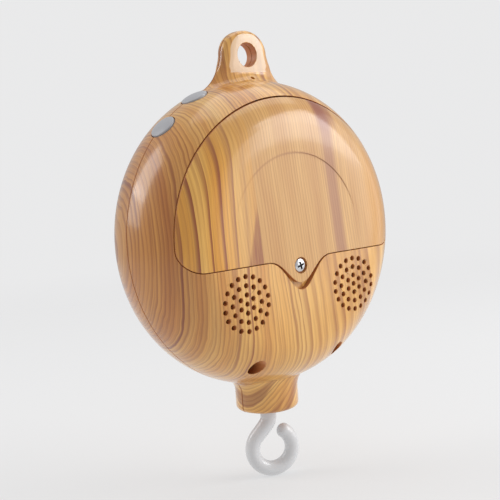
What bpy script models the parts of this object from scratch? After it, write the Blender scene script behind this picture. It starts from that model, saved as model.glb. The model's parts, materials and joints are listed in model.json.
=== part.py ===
"""Hanging music box for a cot mobile.

A round body of two shells hangs from an eye at the top. Two speakers play through grilles in the
back, a door covers three cells, two buttons sit on the rim, and a motor turns a hook below the neck.
Everything is placed on a bench frame: X to the right, Y up the object, Z out of its back.
"""

import math

import bmesh
import bpy
from mathutils import Matrix, Vector

# Clearances
GAP = 0.0003
DOOR_GAP = 0.0003
BUTTON_GAP = 0.0003
SHELL_SEAM = 0.0003

# Round body
BODY_R = 0.0550
BACK_DEPTH = 0.0241
BACK_RIM = 0.0166
FRONT_DEPTH = 0.0215
FRONT_RIM = 0.0158
WALL = 0.0022
BODY_STEPS = 46
CAVITY_STEPS = 34
RIM_STEPS = 6

# Hanging eye
EYE_RISE = BODY_R + 0.0089
EYE_HOLE_R = 0.0043
LUG_HALF_W = 0.0103
LUG_TOP = 0.0092
LUG_HALF_D = 0.00286
LUG_CROWN = 0.00019
LUG_FILLET_R = 0.0150
LUG_BLEND_D = 0.0110
LUG_BLEND_H = 0.0062
LUG_PAD_DROP = 0.0054
PAD_LOW_DROP = 0.0062
LUG_ROOT = 0.0180
PAD_SQUARE = 4.5
BLEND_SQUARE = 1.3
PINHOLE_R = 0.0006
PINHOLE_RISE = BODY_R + 0.0004
PINHOLE_BACK = 0.0050

# Neck
NECK_R = 0.0116
NECK_LOW = -BODY_R - 0.0101
NECK_EDGE = 0.0020
NECK_FILLET_R = 0.0050
NECK_BLEND_D = 0.0010
NECK_ROOT = 0.0170
NECK_LIP = 0.0018

# Battery door
DOOR_R = BODY_R - 0.0064
DOOR_LOW = -0.0084
DOOR_CORNER_R = 0.0080
DOOR_THICK = 0.0016
DOOR_FLOOR = 0.0014
DOOR_LIP_THICK = 0.0008
DOOR_LIP_REACH = 0.0048
TAB_DROP = 0.0101
TAB_HALF_W = 0.0135
ARCH_R = 0.0282
ARCH_DEPTH = 0.0003
ARCH_FADE = 0.0050
TONGUE_X = 0.0070
TONGUE_W = 0.0050
TONGUE_THICK = 0.0010
TONGUE_REACH = 0.0026
TONGUE_DROP = 0.0086
TONGUE_ROOT_LOW = DOOR_R - 0.0036
TONGUE_ROOT_HIGH = DOOR_R - 0.0022
DOOR_HINGE_RISE = DOOR_R - 0.0007

# Door screw
DOOR_SCREW_RISE = -0.0110
SCREW_HEAD_R = 0.0024
SCREW_HEAD_H = 0.0009
SCREW_SINK = 0.0010
DOOR_SCREW_SHANK_R = 0.0013
DOOR_SCREW_PLAY = 0.0004
DOOR_SCREW_TIP = BACK_DEPTH - 0.0083
DOOR_BOSS_R = 0.0042
DOOR_BOSS_LOW = BACK_DEPTH - 0.0089
WASHER_R = 0.0029
WASHER_THICK = 0.0007
WASHER_ROOM = 0.0005
CROSS_W = 0.0007
CROSS_DEPTH = 0.0005

# Small screws
SMALL_SHANK_R = 0.0009
SMALL_HEAD_R = 0.0018
SMALL_HEAD_H = 0.0010
SMALL_SCREW_LENGTH = 0.0050

# Case screws
CASE_HEAD_R = 0.0022
CASE_HEAD_H = 0.0015
WELL_R = 0.0026
WELL_SEAT = 0.0060
BOSS_WALL = 0.0013
BOSS_LOW = 0.0020
CASE_SHANK_R = 0.0013
CASE_SCREW_LENGTH = 0.0120
LOWER_WELL_X = 0.0189
LOWER_WELL_RISE = 0.0107 - BODY_R
UPPER_WELL_X = BODY_R - 0.0185
UPPER_WELL_RISE = 0.0100

# Speakers
SPEAKER_X = 0.0249
SPEAKER_RISE = -0.0209
SPEAKER_R = 0.0120
SPEAKER_FACE = BACK_DEPTH - WALL - 0.0027
SPEAKER_FLANGE = 0.0010
SPEAKER_DEPTH = 0.0060
SPEAKER_RING_WALL = 0.0010
SPEAKER_RING_LOW = SPEAKER_FACE - 0.0032
MAGNET_R = 0.0070
MAGNET_THICK = 0.0032
CONE_THICK = 0.0004
CONE_CAP_R = 0.0030
CONE_CAP_SINK = 0.0020
CONE_SINK = 0.0027
CONE_FOLD_W = 0.0006
CONE_FOLD_H = 0.0003
GRILLE_HOLE_R = 0.00075
GRILLE_PITCH = 0.0031
GRILLE_RINGS = 3
GRILLE_SIDES = 6

# Buttons on the rim, angles from +X towards up
BUTTON_ANGLES = {"power_button": 133.0, "volume_button": 115.2}
BUTTON_HALF_W = 0.0050
BUTTON_HALF_L = 0.0054
BUTTON_BACK = 0.0008
BUTTON_PROUD = 0.0008
BUTTON_DOME = 0.0006
BUTTON_FLANGE = 0.0008
BUTTON_FLANGE_H = 0.0010
BUTTON_STEM_R = 0.0015
BUTTON_TRAVEL = 0.0006
BUTTON_FLANGE_AT = BODY_R - 0.0040
SWITCH_SIZE = 0.0060
SWITCH_H = 0.0036
SWITCH_PLUNGER_R = 0.0015
SWITCH_PLUNGER_H = 0.0010
SWITCH_BACK = -0.0015
BUTTON_BOARD_AT = BODY_R - 0.0135
BUTTON_BOARD_HALF = 0.0130
BUTTON_BOARD_LOW = -0.0065
BUTTON_BOARD_HIGH = 0.0030
BOARD_THICK = 0.0016

# Cells and tray
CELL_R = 0.00725
CELL_LENGTH = 0.0495
CELL_EDGE = 0.0004
NUB_R = 0.0027
NUB_H = 0.0010
CELL_PITCH = 0.0151
CELL_COUNT = 3
CELL_BACK = BACK_DEPTH - 0.0119
TRAY_HALF_W = 0.0276
TRAY_WALL = 0.0010
TRAY_FLOOR = BACK_DEPTH - 0.0204
TRAY_RIM = BACK_DEPTH - 0.0095
TRAY_CORNER_R = 0.0030
TRAY_INNER_LOW = -0.0063
CONTACT_THICK = 0.0004
CONTACT_HALF = 0.0055
SPRING_TURNS = 2
SPRING_WIRE = 0.00025
SPRING_R = 0.0035
TRAY_POST_R = 0.0020
TRAY_POSTS = [(0.0268, -0.0035), (0.0120, 0.0370)]

# Main board
BOARD_HALF_W = 0.0250
BOARD_LOW = 0.0010
BOARD_HIGH = 0.0310
BOARD_FACE = -0.0085
BOARD_POST_R = 0.0022
BOARD_POST_X = 0.0210
BOARD_POST_RISES = [0.0050, 0.0270]
CHIP_HALF = 0.0040
CHIP_H = 0.0012
CAPACITOR_R = 0.0031
CAPACITOR_H = 0.0070
LEAD_SOCKET_X = 0.0040
LEAD_SOCKET_W = 0.0120
LEAD_SOCKET_LIFT = 0.0020
LEAD_SOCKET_D = 0.0050
LEAD_SOCKET_H = 0.0060

# Gear train: module, teeth and shafts (all shafts upright)
MODULE = 0.0006
WHEEL_TEETH = 32
PINION_TEETH = 8
BACKLASH = 0.00028
GEAR_THICK = 0.0020
LEVEL_PITCH = 0.0024
GEAR_LEVEL = NECK_LOW + 0.0269
PLATE_THICK = 0.0012
PLATE_CLEAR = 0.0006
GEAR_PIN_R = 0.0006
SECOND_GEAR_ANGLE = 210.0
FIRST_GEAR_ANGLE = 90.0
MOTOR_ANGLE = 18.0
HOOK_SHAFT_R = 0.0015
MOTOR_SHAFT_R = 0.00075
MOTOR_HALF_W = 0.0100
MOTOR_HALF_D = 0.00755
MOTOR_LENGTH = 0.0250
MOTOR_CAP_H = 0.0020
MOTOR_CAP_STEP = 0.0006
MOTOR_BORE_H = 0.0030
PILLAR_R = 0.0018
GEARBOX_SCREWS = [-0.0180, 0.0080]
GEARBOX_FRONT = FRONT_DEPTH - WALL - 0.0016
GEARBOX_FLANGE = 0.0011
GEARBOX_SCREW_RISE = GEAR_LEVEL + 0.0030
GEARBOX_SCREW_LENGTH = FRONT_DEPTH - WALL - GEARBOX_FRONT + GEARBOX_FLANGE
PLATE_LEFT = -0.0245
PLATE_RIGHT = 0.0145
PLATE_BACK = -0.0085
PLATE_SHOULDER = 0.0085
FLANGE_LEFT = -0.0200
FLANGE_RIGHT = 0.0105
PILLAR_SPOTS = [(0.0118, -0.0062), (0.0122, 0.0065), (-0.0223, 0.0)]

# Bush, clip and hook
BUSH_R = 0.0053
BUSH_FLANGE_R = 0.0075
BUSH_FLANGE_TOP = NECK_LOW + 0.0126
BUSH_FLANGE_H = 0.0015
CLIP_R = 0.0050
CLIP_THICK = 0.0008
SHANK_R = 0.00305
SHANK_TOP = NECK_LOW + 0.0091
SHAFT_GRIP = 0.0040
HOOK_WIRE_R = 0.00275
HOOK_RING_R = 0.0077
HOOK_RING_X = 0.0007
HOOK_RING_RISE = NECK_LOW - 0.0161
HOOK_JOIN_ANGLE = 150.0
HOOK_TIP_ANGLE = 412.0
HOOK_STRAIGHT_LOW = NECK_LOW - 0.0039
HOOK_TURN = -22.0

# Values worked out from the sizes above
CENTRE_DISTANCE = MODULE * (WHEEL_TEETH + PINION_TEETH) / 2.0
WHEEL_TIP_R = MODULE * (WHEEL_TEETH / 2.0 + 1.0)
DOOR_SINK = DOOR_THICK + DOOR_GAP
TRAY_INNER_HIGH = TRAY_INNER_LOW + CELL_COUNT * CELL_PITCH
FULL_TURN = 2.0 * math.pi
UPRIGHT = (-math.pi / 2.0, 0.0, 0.0)


def clear_scene():
    for thing in list(bpy.data.objects):
        bpy.data.objects.remove(thing, do_unlink=True)


clear_scene()
parts = bpy.data.collections.new("music_box")
cutters = bpy.data.collections.new("music_box_cutters")
bpy.context.scene.collection.children.link(parts)
bpy.context.scene.collection.children.link(cutters)
bench = bpy.data.objects.new("bench", None)
bench.location = (0.0, 0.0, -EYE_RISE)
bench.rotation_euler = (math.pi / 2.0, 0.0, 0.0)
parts.objects.link(bench)


def finish_material(name, colour, roughness, metallic=0.0):
    """A plain Principled finish."""
    made = bpy.data.materials.new(name)
    made.use_nodes = True
    shader = made.node_tree.nodes["Principled BSDF"]
    shader.inputs["Base Color"].default_value = (*colour, 1.0)
    shader.inputs["Roughness"].default_value = roughness
    shader.inputs["Metallic"].default_value = metallic
    made.diffuse_color = (*colour, 1.0)
    return made


WOOD = finish_material("wood_look", (0.62, 0.31, 0.11), 0.35)
DOOR_WOOD = finish_material("door_wood_look", (0.60, 0.29, 0.10), 0.35)
GREY = finish_material("button_grey", (0.44, 0.47, 0.51), 0.45)
PALE = finish_material("hook_plastic", (0.62, 0.64, 0.65), 0.25)
BLACK = finish_material("black_plastic", (0.03, 0.03, 0.035), 0.5)
GEAR_WHITE = finish_material("gear_plastic", (0.80, 0.80, 0.76), 0.4)
STEEL = finish_material("plated_steel", (0.70, 0.71, 0.73), 0.25, 1.0)
BOARD_GREEN = finish_material("board_green", (0.05, 0.22, 0.09), 0.5)
PAPER = finish_material("cone_paper", (0.12, 0.11, 0.10), 0.8)
CELL_SLEEVE = finish_material("cell_sleeve", (0.10, 0.16, 0.30), 0.35)
MAGNET_GREY = finish_material("magnet_grey", (0.20, 0.20, 0.21), 0.6)


def hold(name, mesh, finish, place=(0.0, 0.0, 0.0), turn=(0.0, 0.0, 0.0), smooth=35.0):
    """Put a mesh on the bench as a part, or as a cutter when it has no finish."""
    thing = bpy.data.objects.new(name, mesh)
    thing.parent = bench
    thing.location = place
    thing.rotation_euler = turn
    mesh.shade_smooth()
    mesh.set_sharp_from_angle(angle=math.radians(smooth))
    if finish is None:
        cutters.objects.link(thing)
        thing.hide_render = True
        thing.display_type = "WIRE"
    else:
        parts.objects.link(thing)
        mesh.materials.append(finish)
    return thing


def combine(thing, other, how):
    """Cut, join or intersect with another solid."""
    step = thing.modifiers.new(how.lower() + "_" + other.name, "BOOLEAN")
    step.operation = how
    step.object = other
    step.solver = "EXACT"
    return thing


def cut(thing, *others):
    for other in others:
        combine(thing, other, "DIFFERENCE")
    return thing


def join(thing, *others):
    for other in others:
        combine(thing, other, "UNION")
    return thing


def keep_inside(thing, other):
    return combine(thing, other, "INTERSECT")


def mesh_of(shape, name):
    made = bpy.data.meshes.new(name)
    shape.to_mesh(made)
    shape.free()
    return made


def turned(name, profile, finish=None, place=(0.0, 0.0, 0.0), turn=(0.0, 0.0, 0.0), steps=24):
    """Spin a profile of (radius, height), given from its top down its outer side."""
    shape = bmesh.new()
    points = [shape.verts.new((radius, 0.0, height)) for radius, height in profile]
    for first, second in zip(points, points[1:]):
        shape.edges.new((first, second))
    if profile[0][0] > 0.0:
        shape.edges.new((points[-1], points[0]))
    thing = hold(name, mesh_of(shape, name), finish, place, turn)
    spin = thing.modifiers.new("turn", "SCREW")
    spin.axis = "Z"
    spin.steps = steps
    spin.render_steps = steps
    spin.use_merge_vertices = True
    spin.merge_threshold = 0.000001
    spin.use_smooth_shade = True
    return thing


def rod(name, radius, low, high, finish=None, place=(0.0, 0.0, 0.0), turn=(0.0, 0.0, 0.0), steps=12):
    """A round bar from low to high along its own Z."""
    shape = bmesh.new()
    middle = Matrix.Translation((0.0, 0.0, (low + high) / 2.0))
    bmesh.ops.create_cone(shape, cap_ends=True, segments=steps, radius1=radius, radius2=radius,
                          depth=high - low, matrix=middle)
    return hold(name, mesh_of(shape, name), finish, place, turn)


def ring(name, inner, outer, low, high, finish=None, place=(0.0, 0.0, 0.0), turn=(0.0, 0.0, 0.0),
         steps=24):
    """A plain sleeve or washer."""
    profile = [(inner, high), (outer, high), (outer, low), (inner, low)]
    return turned(name, profile, finish, place, turn, steps)


def block(name, low, high, finish=None, place=(0.0, 0.0, 0.0), turn=(0.0, 0.0, 0.0)):
    """A box between two corners."""
    size = [b - a for a, b in zip(low, high)]
    middle = [(a + b) / 2.0 for a, b in zip(low, high)]
    shape = bmesh.new()
    fit = Matrix.Translation(middle) @ Matrix.Diagonal((*size, 1.0))
    bmesh.ops.create_cube(shape, size=1.0, matrix=fit)
    return hold(name, mesh_of(shape, name), finish, place, turn)


def slab(name, outlines, low, high, finish=None, place=(0.0, 0.0, 0.0), turn=(0.0, 0.0, 0.0)):
    """A flat plate from closed outlines (the first outside, the others holes), low to high."""
    curve = bpy.data.curves.new(name + "_outline", "CURVE")
    curve.dimensions = "2D"
    curve.fill_mode = "BOTH"
    curve.extrude = (high - low) / 2.0
    for outline in outlines:
        line = curve.splines.new("POLY")
        line.points.add(len(outline) - 1)
        for point, spot in zip(line.points, outline):
            point.co = (spot[0], spot[1], 0.0, 1.0)
        line.use_cyclic_u = True
    drawn = bpy.data.objects.new(name + "_outline", curve)
    cutters.objects.link(drawn)
    mesh = bpy.data.meshes.new_from_object(drawn.evaluated_get(bpy.context.evaluated_depsgraph_get()))
    bpy.data.objects.remove(drawn, do_unlink=True)
    shape = bmesh.new()
    shape.from_mesh(mesh)
    bmesh.ops.remove_doubles(shape, verts=shape.verts, dist=0.000001)
    bmesh.ops.recalc_face_normals(shape, faces=shape.faces)
    bmesh.ops.translate(shape, verts=shape.verts, vec=(0.0, 0.0, (low + high) / 2.0))
    bpy.data.meshes.remove(mesh)
    return hold(name, mesh_of(shape, name), finish, place, turn)


def circle(radius, centre=(0.0, 0.0), sides=16):
    return [(centre[0] + radius * math.cos(FULL_TURN * i / sides),
             centre[1] + radius * math.sin(FULL_TURN * i / sides)) for i in range(sides)]


def round_rectangle(left, right, low, high, radius, steps=5):
    """Corners are quarter circles."""
    points = []
    for x, y, start in ((right - radius, high - radius, 0), (left + radius, high - radius, 90),
                        (left + radius, low + radius, 180), (right - radius, low + radius, 270)):
        for i in range(steps):
            angle = math.radians(start + 90.0 * i / (steps - 1))
            points.append((x + radius * math.cos(angle), y + radius * math.sin(angle)))
    return points


def dome_profile(depth, rim, inset, low):
    """Flat middle and quarter-ellipse edge of the body, moved inwards by inset."""
    points = [(0.0, depth - inset)]
    for i in range(RIM_STEPS + 1):
        angle = math.radians(90.0 * (1.0 - i / RIM_STEPS))
        across, out = math.cos(angle) / rim, math.sin(angle) / depth
        length = math.hypot(across, out)
        points.append((BODY_R - rim + rim * math.cos(angle) - inset * across / length,
                       depth * math.sin(angle) - inset * out / length))
    points.append((BODY_R - inset, low))
    points.append((0.0, low))
    return points


def dome(name, back, inset, low=-0.0010, finish=None, steps=BODY_STEPS):
    """The round half of the body, at the back or at the front."""
    depth, rim, turn = (BACK_DEPTH, BACK_RIM, 0.0) if back else (FRONT_DEPTH, FRONT_RIM, math.pi)
    profile = dome_profile(depth, rim, inset, low)
    return turned(name, profile, finish, turn=(turn, 0.0, 0.0), steps=steps)


def body_depth(radius, inset=0.0):
    """Depth of the back surface, moved inwards by inset, at a distance from the middle."""
    spots = dome_profile(BACK_DEPTH, BACK_RIM, inset, 0.0)[:-2]
    for near, far in zip(spots, spots[1:]):
        if near[0] <= radius <= far[0]:
            share = (radius - near[0]) / (far[0] - near[0])
            return near[1] + share * (far[1] - near[1])
    return 0.0


def stack(name, sections, sides=28):
    """A lofted solid of level sections (height, half width, half depth, squareness)."""
    shape = bmesh.new()
    rings = []
    for height, wide, deep, square in sections:
        loop = []
        for i in range(sides):
            angle = FULL_TURN * i / sides
            across, out = math.cos(angle), math.sin(angle)
            loop.append(shape.verts.new((wide * math.copysign(abs(across) ** (2.0 / square), across), height,
                                         -deep * math.copysign(abs(out) ** (2.0 / square), out))))
        rings.append(loop)
    for lower, upper in zip(rings, rings[1:]):
        for i in range(sides):
            j = (i + 1) % sides
            shape.faces.new((lower[i], lower[j], upper[j], upper[i]))
    shape.faces.new(list(reversed(rings[0])))
    shape.faces.new(rings[-1])
    bmesh.ops.recalc_face_normals(shape, faces=shape.faces)
    return hold(name, mesh_of(shape, name), None)


def fillet_width(height, half_w, radius):
    """Half width of a post that stands on the round body, with a fillet of the given radius."""
    middle_x = half_w + radius
    middle_rise = math.sqrt((BODY_R + radius) ** 2 - middle_x ** 2)
    touch_rise = middle_rise * BODY_R / (BODY_R + radius)
    if height >= middle_rise:
        return half_w
    if height >= touch_rise:
        return middle_x - math.sqrt(radius ** 2 - (middle_rise - height) ** 2)
    return middle_x * BODY_R / (BODY_R + radius) - 0.5 * (touch_rise - height)


def hanging_lug(name):
    """The tongue with the eye, filleted into the rim of the body."""
    sections = []
    count = 9
    for i in range(count + 1):
        height = EYE_RISE - LUG_ROOT * (1.0 - i / count)
        sink = (EYE_RISE - LUG_PAD_DROP - height) / LUG_BLEND_H
        deep = LUG_HALF_D + LUG_CROWN + LUG_BLEND_D * (1.0 - math.sqrt(1.0 - min(max(sink, 0.0), 0.95) ** 2))
        square = BLEND_SQUARE + (PAD_SQUARE - BLEND_SQUARE) * min(1.0, max(0.0, 1.0 - sink) / 1.2) ** 2
        sections.append((height, fillet_width(height, LUG_HALF_W, LUG_FILLET_R), deep, square))
    for i in range(1, 6):
        angle = math.radians(86.0 * i / 5.0)
        sections.append((EYE_RISE + LUG_TOP * math.sin(angle), LUG_HALF_W * math.cos(angle),
                         LUG_HALF_D + LUG_CROWN, PAD_SQUARE))
    lug = stack(name, sections)
    for side in (-1, 1):
        near, far = sorted((side * LUG_HALF_D, side * 3.0 * LUG_HALF_D))
        cut(lug, block(f"{name}_pad_{side}", (-LUG_HALF_W, EYE_RISE - PAD_LOW_DROP, near),
                       (LUG_HALF_W, EYE_RISE + LUG_HALF_W, far)))
    return lug


def neck_form(name):
    """The round neck, filleted into the lower edge of the body."""
    sections = []
    for i in range(4):
        angle = math.radians(90.0 * i / 3.0)
        wide = NECK_R - NECK_EDGE * (1.0 - math.sin(angle))
        sections.append((NECK_LOW + NECK_EDGE * (1.0 - math.cos(angle)), wide, wide, 2.0))
    low = BODY_R + NECK_FILLET_R / 2.0
    for i in range(7):
        height = low - (low + NECK_LOW + NECK_ROOT) * i / 6.0
        wide = fillet_width(height, NECK_R, NECK_FILLET_R)
        deep = NECK_R + NECK_BLEND_D * min(1.0, max(0.0, (wide - NECK_R) / NECK_FILLET_R))
        sections.append((-height, wide, deep, 2.0))
    return stack(name, sections)


def door_outline(offset, fine=1):
    """The door's edge, moved outwards by offset: round top, square lower corners, screw tab."""
    base = []
    arc_steps, corner_steps, tab_steps = 12 * fine, 2 + 2 * fine, 6 + 6 * fine
    corner_rise = DOOR_LOW + DOOR_CORNER_R
    corner_x = math.sqrt((DOOR_R - DOOR_CORNER_R) ** 2 - corner_rise ** 2)
    arc_start = math.atan2(corner_rise, corner_x)
    for i in range(arc_steps + 1):
        angle = arc_start + (math.pi - 2.0 * arc_start) * i / arc_steps
        base.append((DOOR_R * math.cos(angle), DOOR_R * math.sin(angle)))
    for i in range(1, corner_steps + 1):
        angle = math.pi - arc_start + (math.pi / 2.0 + arc_start) * i / corner_steps
        base.append((-corner_x + DOOR_CORNER_R * math.cos(angle),
                     corner_rise + DOOR_CORNER_R * math.sin(angle)))
    for i in range(tab_steps + 1):
        x = -TAB_HALF_W + 2.0 * TAB_HALF_W * i / tab_steps
        base.append((x, DOOR_LOW - TAB_DROP * math.cos(math.pi * x / (2.0 * TAB_HALF_W)) ** 2))
    for i in range(corner_steps):
        angle = 1.5 * math.pi + (math.pi / 2.0 + arc_start) * i / corner_steps
        base.append((corner_x + DOOR_CORNER_R * math.cos(angle),
                     corner_rise + DOOR_CORNER_R * math.sin(angle)))
    moved = []
    for i, (x, y) in enumerate(base):
        before, after = base[i - 1], base[(i + 1) % len(base)]
        run, rise = after[0] - before[0], after[1] - before[1]
        length = math.hypot(run, rise)
        moved.append((x + offset * rise / length, y - offset * run / length))
    return moved


def bay_outline(offset):
    """The edge of the cell bay, moved outwards by offset."""
    return round_rectangle(-TRAY_HALF_W - offset, TRAY_HALF_W + offset, TRAY_INNER_LOW - offset,
                           TRAY_INNER_HIGH + offset, TRAY_CORNER_R + offset)


def grille_spots():
    """Hole centres of one grille: a middle hole and rings of 6, 12 and 18."""
    spots = [(0.0, 0.0)]
    for ring_number in range(1, GRILLE_RINGS + 1):
        for i in range(6 * ring_number):
            angle = math.radians(90.0 + 60.0 * i / ring_number)
            spots.append((GRILLE_PITCH * ring_number * math.cos(angle),
                          GRILLE_PITCH * ring_number * math.sin(angle)))
    return spots


def hole_group(name, side):
    """All holes of one grille as one cutter."""
    shape = bmesh.new()
    for x, y in grille_spots():
        spot = Matrix.Translation((side * SPEAKER_X + x, SPEAKER_RISE + y, BACK_DEPTH - 0.0060))
        bmesh.ops.create_cone(shape, cap_ends=True, segments=GRILLE_SIDES, radius1=GRILLE_HOLE_R,
                              radius2=GRILLE_HOLE_R, depth=0.0160, matrix=spot)
    return hold(name, mesh_of(shape, name), None)


def button_axis(name):
    """Place and turn of a frame whose Z runs outwards through a button."""
    angle = math.radians(BUTTON_ANGLES[name])
    outward = Vector((math.cos(angle), math.sin(angle), 0.0))
    back = Vector((0.0, 0.0, 1.0))
    along = back.cross(outward)
    turn = Matrix((along, back, outward)).transposed().to_euler()
    return Vector((0.0, 0.0, BUTTON_BACK)), turn


def oval_rod(name, half_w, half_l, low, high, place, turn, finish=None):
    """An oval bar, half_w along the rim and half_l from front to back."""
    outline = [(half_w / half_l * x, y) for x, y in circle(half_l, sides=24)]
    return slab(name, [outline], low, high, finish, place, turn)


SCREW_SPOTS = [(-LOWER_WELL_X, LOWER_WELL_RISE), (LOWER_WELL_X, LOWER_WELL_RISE),
               (-UPPER_WELL_X, UPPER_WELL_RISE), (UPPER_WELL_X, UPPER_WELL_RISE)]
BUSH_LOW = NECK_LOW + NECK_LIP + GAP
NECK_BORE_R = BUSH_R + GAP
NECK_SHOULDER = BUSH_FLANGE_TOP - BUSH_FLANGE_H - GAP


def shared_cutters():
    """Solids that both shells are cut with: eye, neck bore and button holes."""
    eye = rod("eye_cutter", EYE_HOLE_R, -0.02, 0.02, place=(0.0, EYE_RISE, 0.0), steps=24)
    lip = rod("neck_lip_cutter", SHANK_R + 0.00045, NECK_LOW - 0.002, BUSH_LOW, turn=UPRIGHT, steps=24)
    bore = rod("neck_bore_cutter", NECK_BORE_R, BUSH_LOW - GAP, -0.0480, turn=UPRIGHT, steps=24)
    shoulder = rod("neck_shoulder_cutter", BUSH_FLANGE_R + GAP, NECK_SHOULDER, -0.0480, turn=UPRIGHT,
                   steps=24)
    made = [eye, lip, bore, shoulder]
    for name in BUTTON_ANGLES:
        place, turn = button_axis(name)
        made.append(oval_rod(name + "_hole", BUTTON_HALF_W + BUTTON_GAP, BUTTON_HALF_L + BUTTON_GAP,
                             BUTTON_BOARD_AT + BOARD_THICK, BODY_R + BUTTON_HALF_W, place, turn))
    return made


def make_back_shell():
    """Rear half: grilles, screw wells, recessed door seat with the cell bay."""
    shell = dome("back_shell", True, 0.0, finish=WOOD)
    join(shell, hanging_lug("back_lug"), neck_form("back_neck"))
    far = 1.6 * BODY_R
    cut(shell, block("front_half_space", (-far, -far, -0.0400), (far, far, SHELL_SEAM / 2.0)))
    thin = dome("back_cavity", True, WALL, low=-0.0020, steps=CAVITY_STEPS)
    cut(thin, slab("door_zone", [door_outline(DOOR_FLOOR + DOOR_GAP)], -0.0050, BACK_DEPTH))
    cut(shell, thin, dome("back_cavity_deep", True, DOOR_SINK + DOOR_FLOOR, low=-0.0020, steps=CAVITY_STEPS))
    works = slab("bay_wall", [bay_outline(TRAY_WALL)], TRAY_RIM + GAP, BACK_DEPTH)
    for side in (-1, 1):
        join(works, ring(f"speaker_ring_{side}", SPEAKER_R + GAP, SPEAKER_R + GAP + SPEAKER_RING_WALL,
                         SPEAKER_RING_LOW, BACK_DEPTH, place=(side * SPEAKER_X, SPEAKER_RISE, 0.0), steps=20))
    for number, (x, rise) in enumerate(SCREW_SPOTS):
        join(works, rod(f"well_boss_{number}", WELL_R + BOSS_WALL, BOSS_LOW, BACK_DEPTH,
                        place=(x, rise, 0.0)))
    join(works, rod("door_boss", DOOR_BOSS_R, DOOR_BOSS_LOW, BACK_DEPTH, place=(0.0, DOOR_SCREW_RISE, 0.0)))
    keep_inside(works, dome("back_works_limit", True, WALL / 2.0, low=-0.0020, steps=CAVITY_STEPS))
    join(shell, works)
    recess = slab("door_recess", [door_outline(DOOR_GAP, 2)], BOSS_LOW, BACK_DEPTH + 0.0050)
    cut(recess, dome("door_seat", True, DOOR_SINK, low=-0.0020))
    bay = slab("bay_opening", [bay_outline(0.0)], TRAY_RIM - 0.0020, BACK_DEPTH + 0.0040)
    cut(shell, recess, bay)
    seat = BACK_DEPTH - DOOR_SINK
    place = (0.0, DOOR_SCREW_RISE, 0.0)
    cut(shell, rod("washer_pocket", WASHER_R + WASHER_ROOM, seat - WASHER_THICK - WASHER_ROOM,
                   BACK_DEPTH, place=place))
    pilot = DOOR_SCREW_SHANK_R + DOOR_SCREW_PLAY
    cut(shell, rod("door_screw_pilot", pilot, DOOR_BOSS_LOW - 0.0010, seat + 0.0010, place=place))
    for number, (x, rise) in enumerate(SCREW_SPOTS):
        cut(shell, rod(f"well_{number}", WELL_R, WELL_SEAT, BACK_DEPTH + 0.0020, place=(x, rise, 0.0)))
        cut(shell, rod(f"well_bore_{number}", CASE_SHANK_R + GAP, BOSS_LOW - 0.0010, WELL_SEAT + 0.0010,
                       place=(x, rise, 0.0), steps=12))
    for side in (-1, 1):
        cut(shell, *tongue_slots(side), hole_group(f"grille_holes_{side}", side))
    lean = math.radians(-45.0)
    cut(shell, rod("pinhole", PINHOLE_R, -0.0080, 0.0060, place=(0.0, PINHOLE_RISE, PINHOLE_BACK),
                   turn=(lean, 0.0, 0.0), steps=8))
    return cut(shell, *shared_cutters())


def tongue_box(side, spread, low_rise, high_rise, low, high, name):
    middle = side * TONGUE_X
    half = TONGUE_W / 2.0 + spread
    return block(name, (middle - half, low_rise, low), (middle + half, high_rise, high))


def tongue_slots(side):
    """Room in the back shell for a door tongue, also while the door swings."""
    low = DOOR_HINGE_BACK - TONGUE_DROP
    swing = tongue_box(side, GAP, DOOR_HINGE_RISE - 0.0073, TONGUE_ROOT_HIGH + 0.0004, low - 0.0012,
                       BACK_DEPTH, f"tongue_swing_{side}")
    reach = tongue_box(side, GAP, TONGUE_ROOT_HIGH, DOOR_HINGE_RISE + TONGUE_REACH + 0.0005, low - 0.0050,
                       low + TONGUE_THICK + 0.0003, f"tongue_reach_{side}")
    return swing, reach


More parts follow.
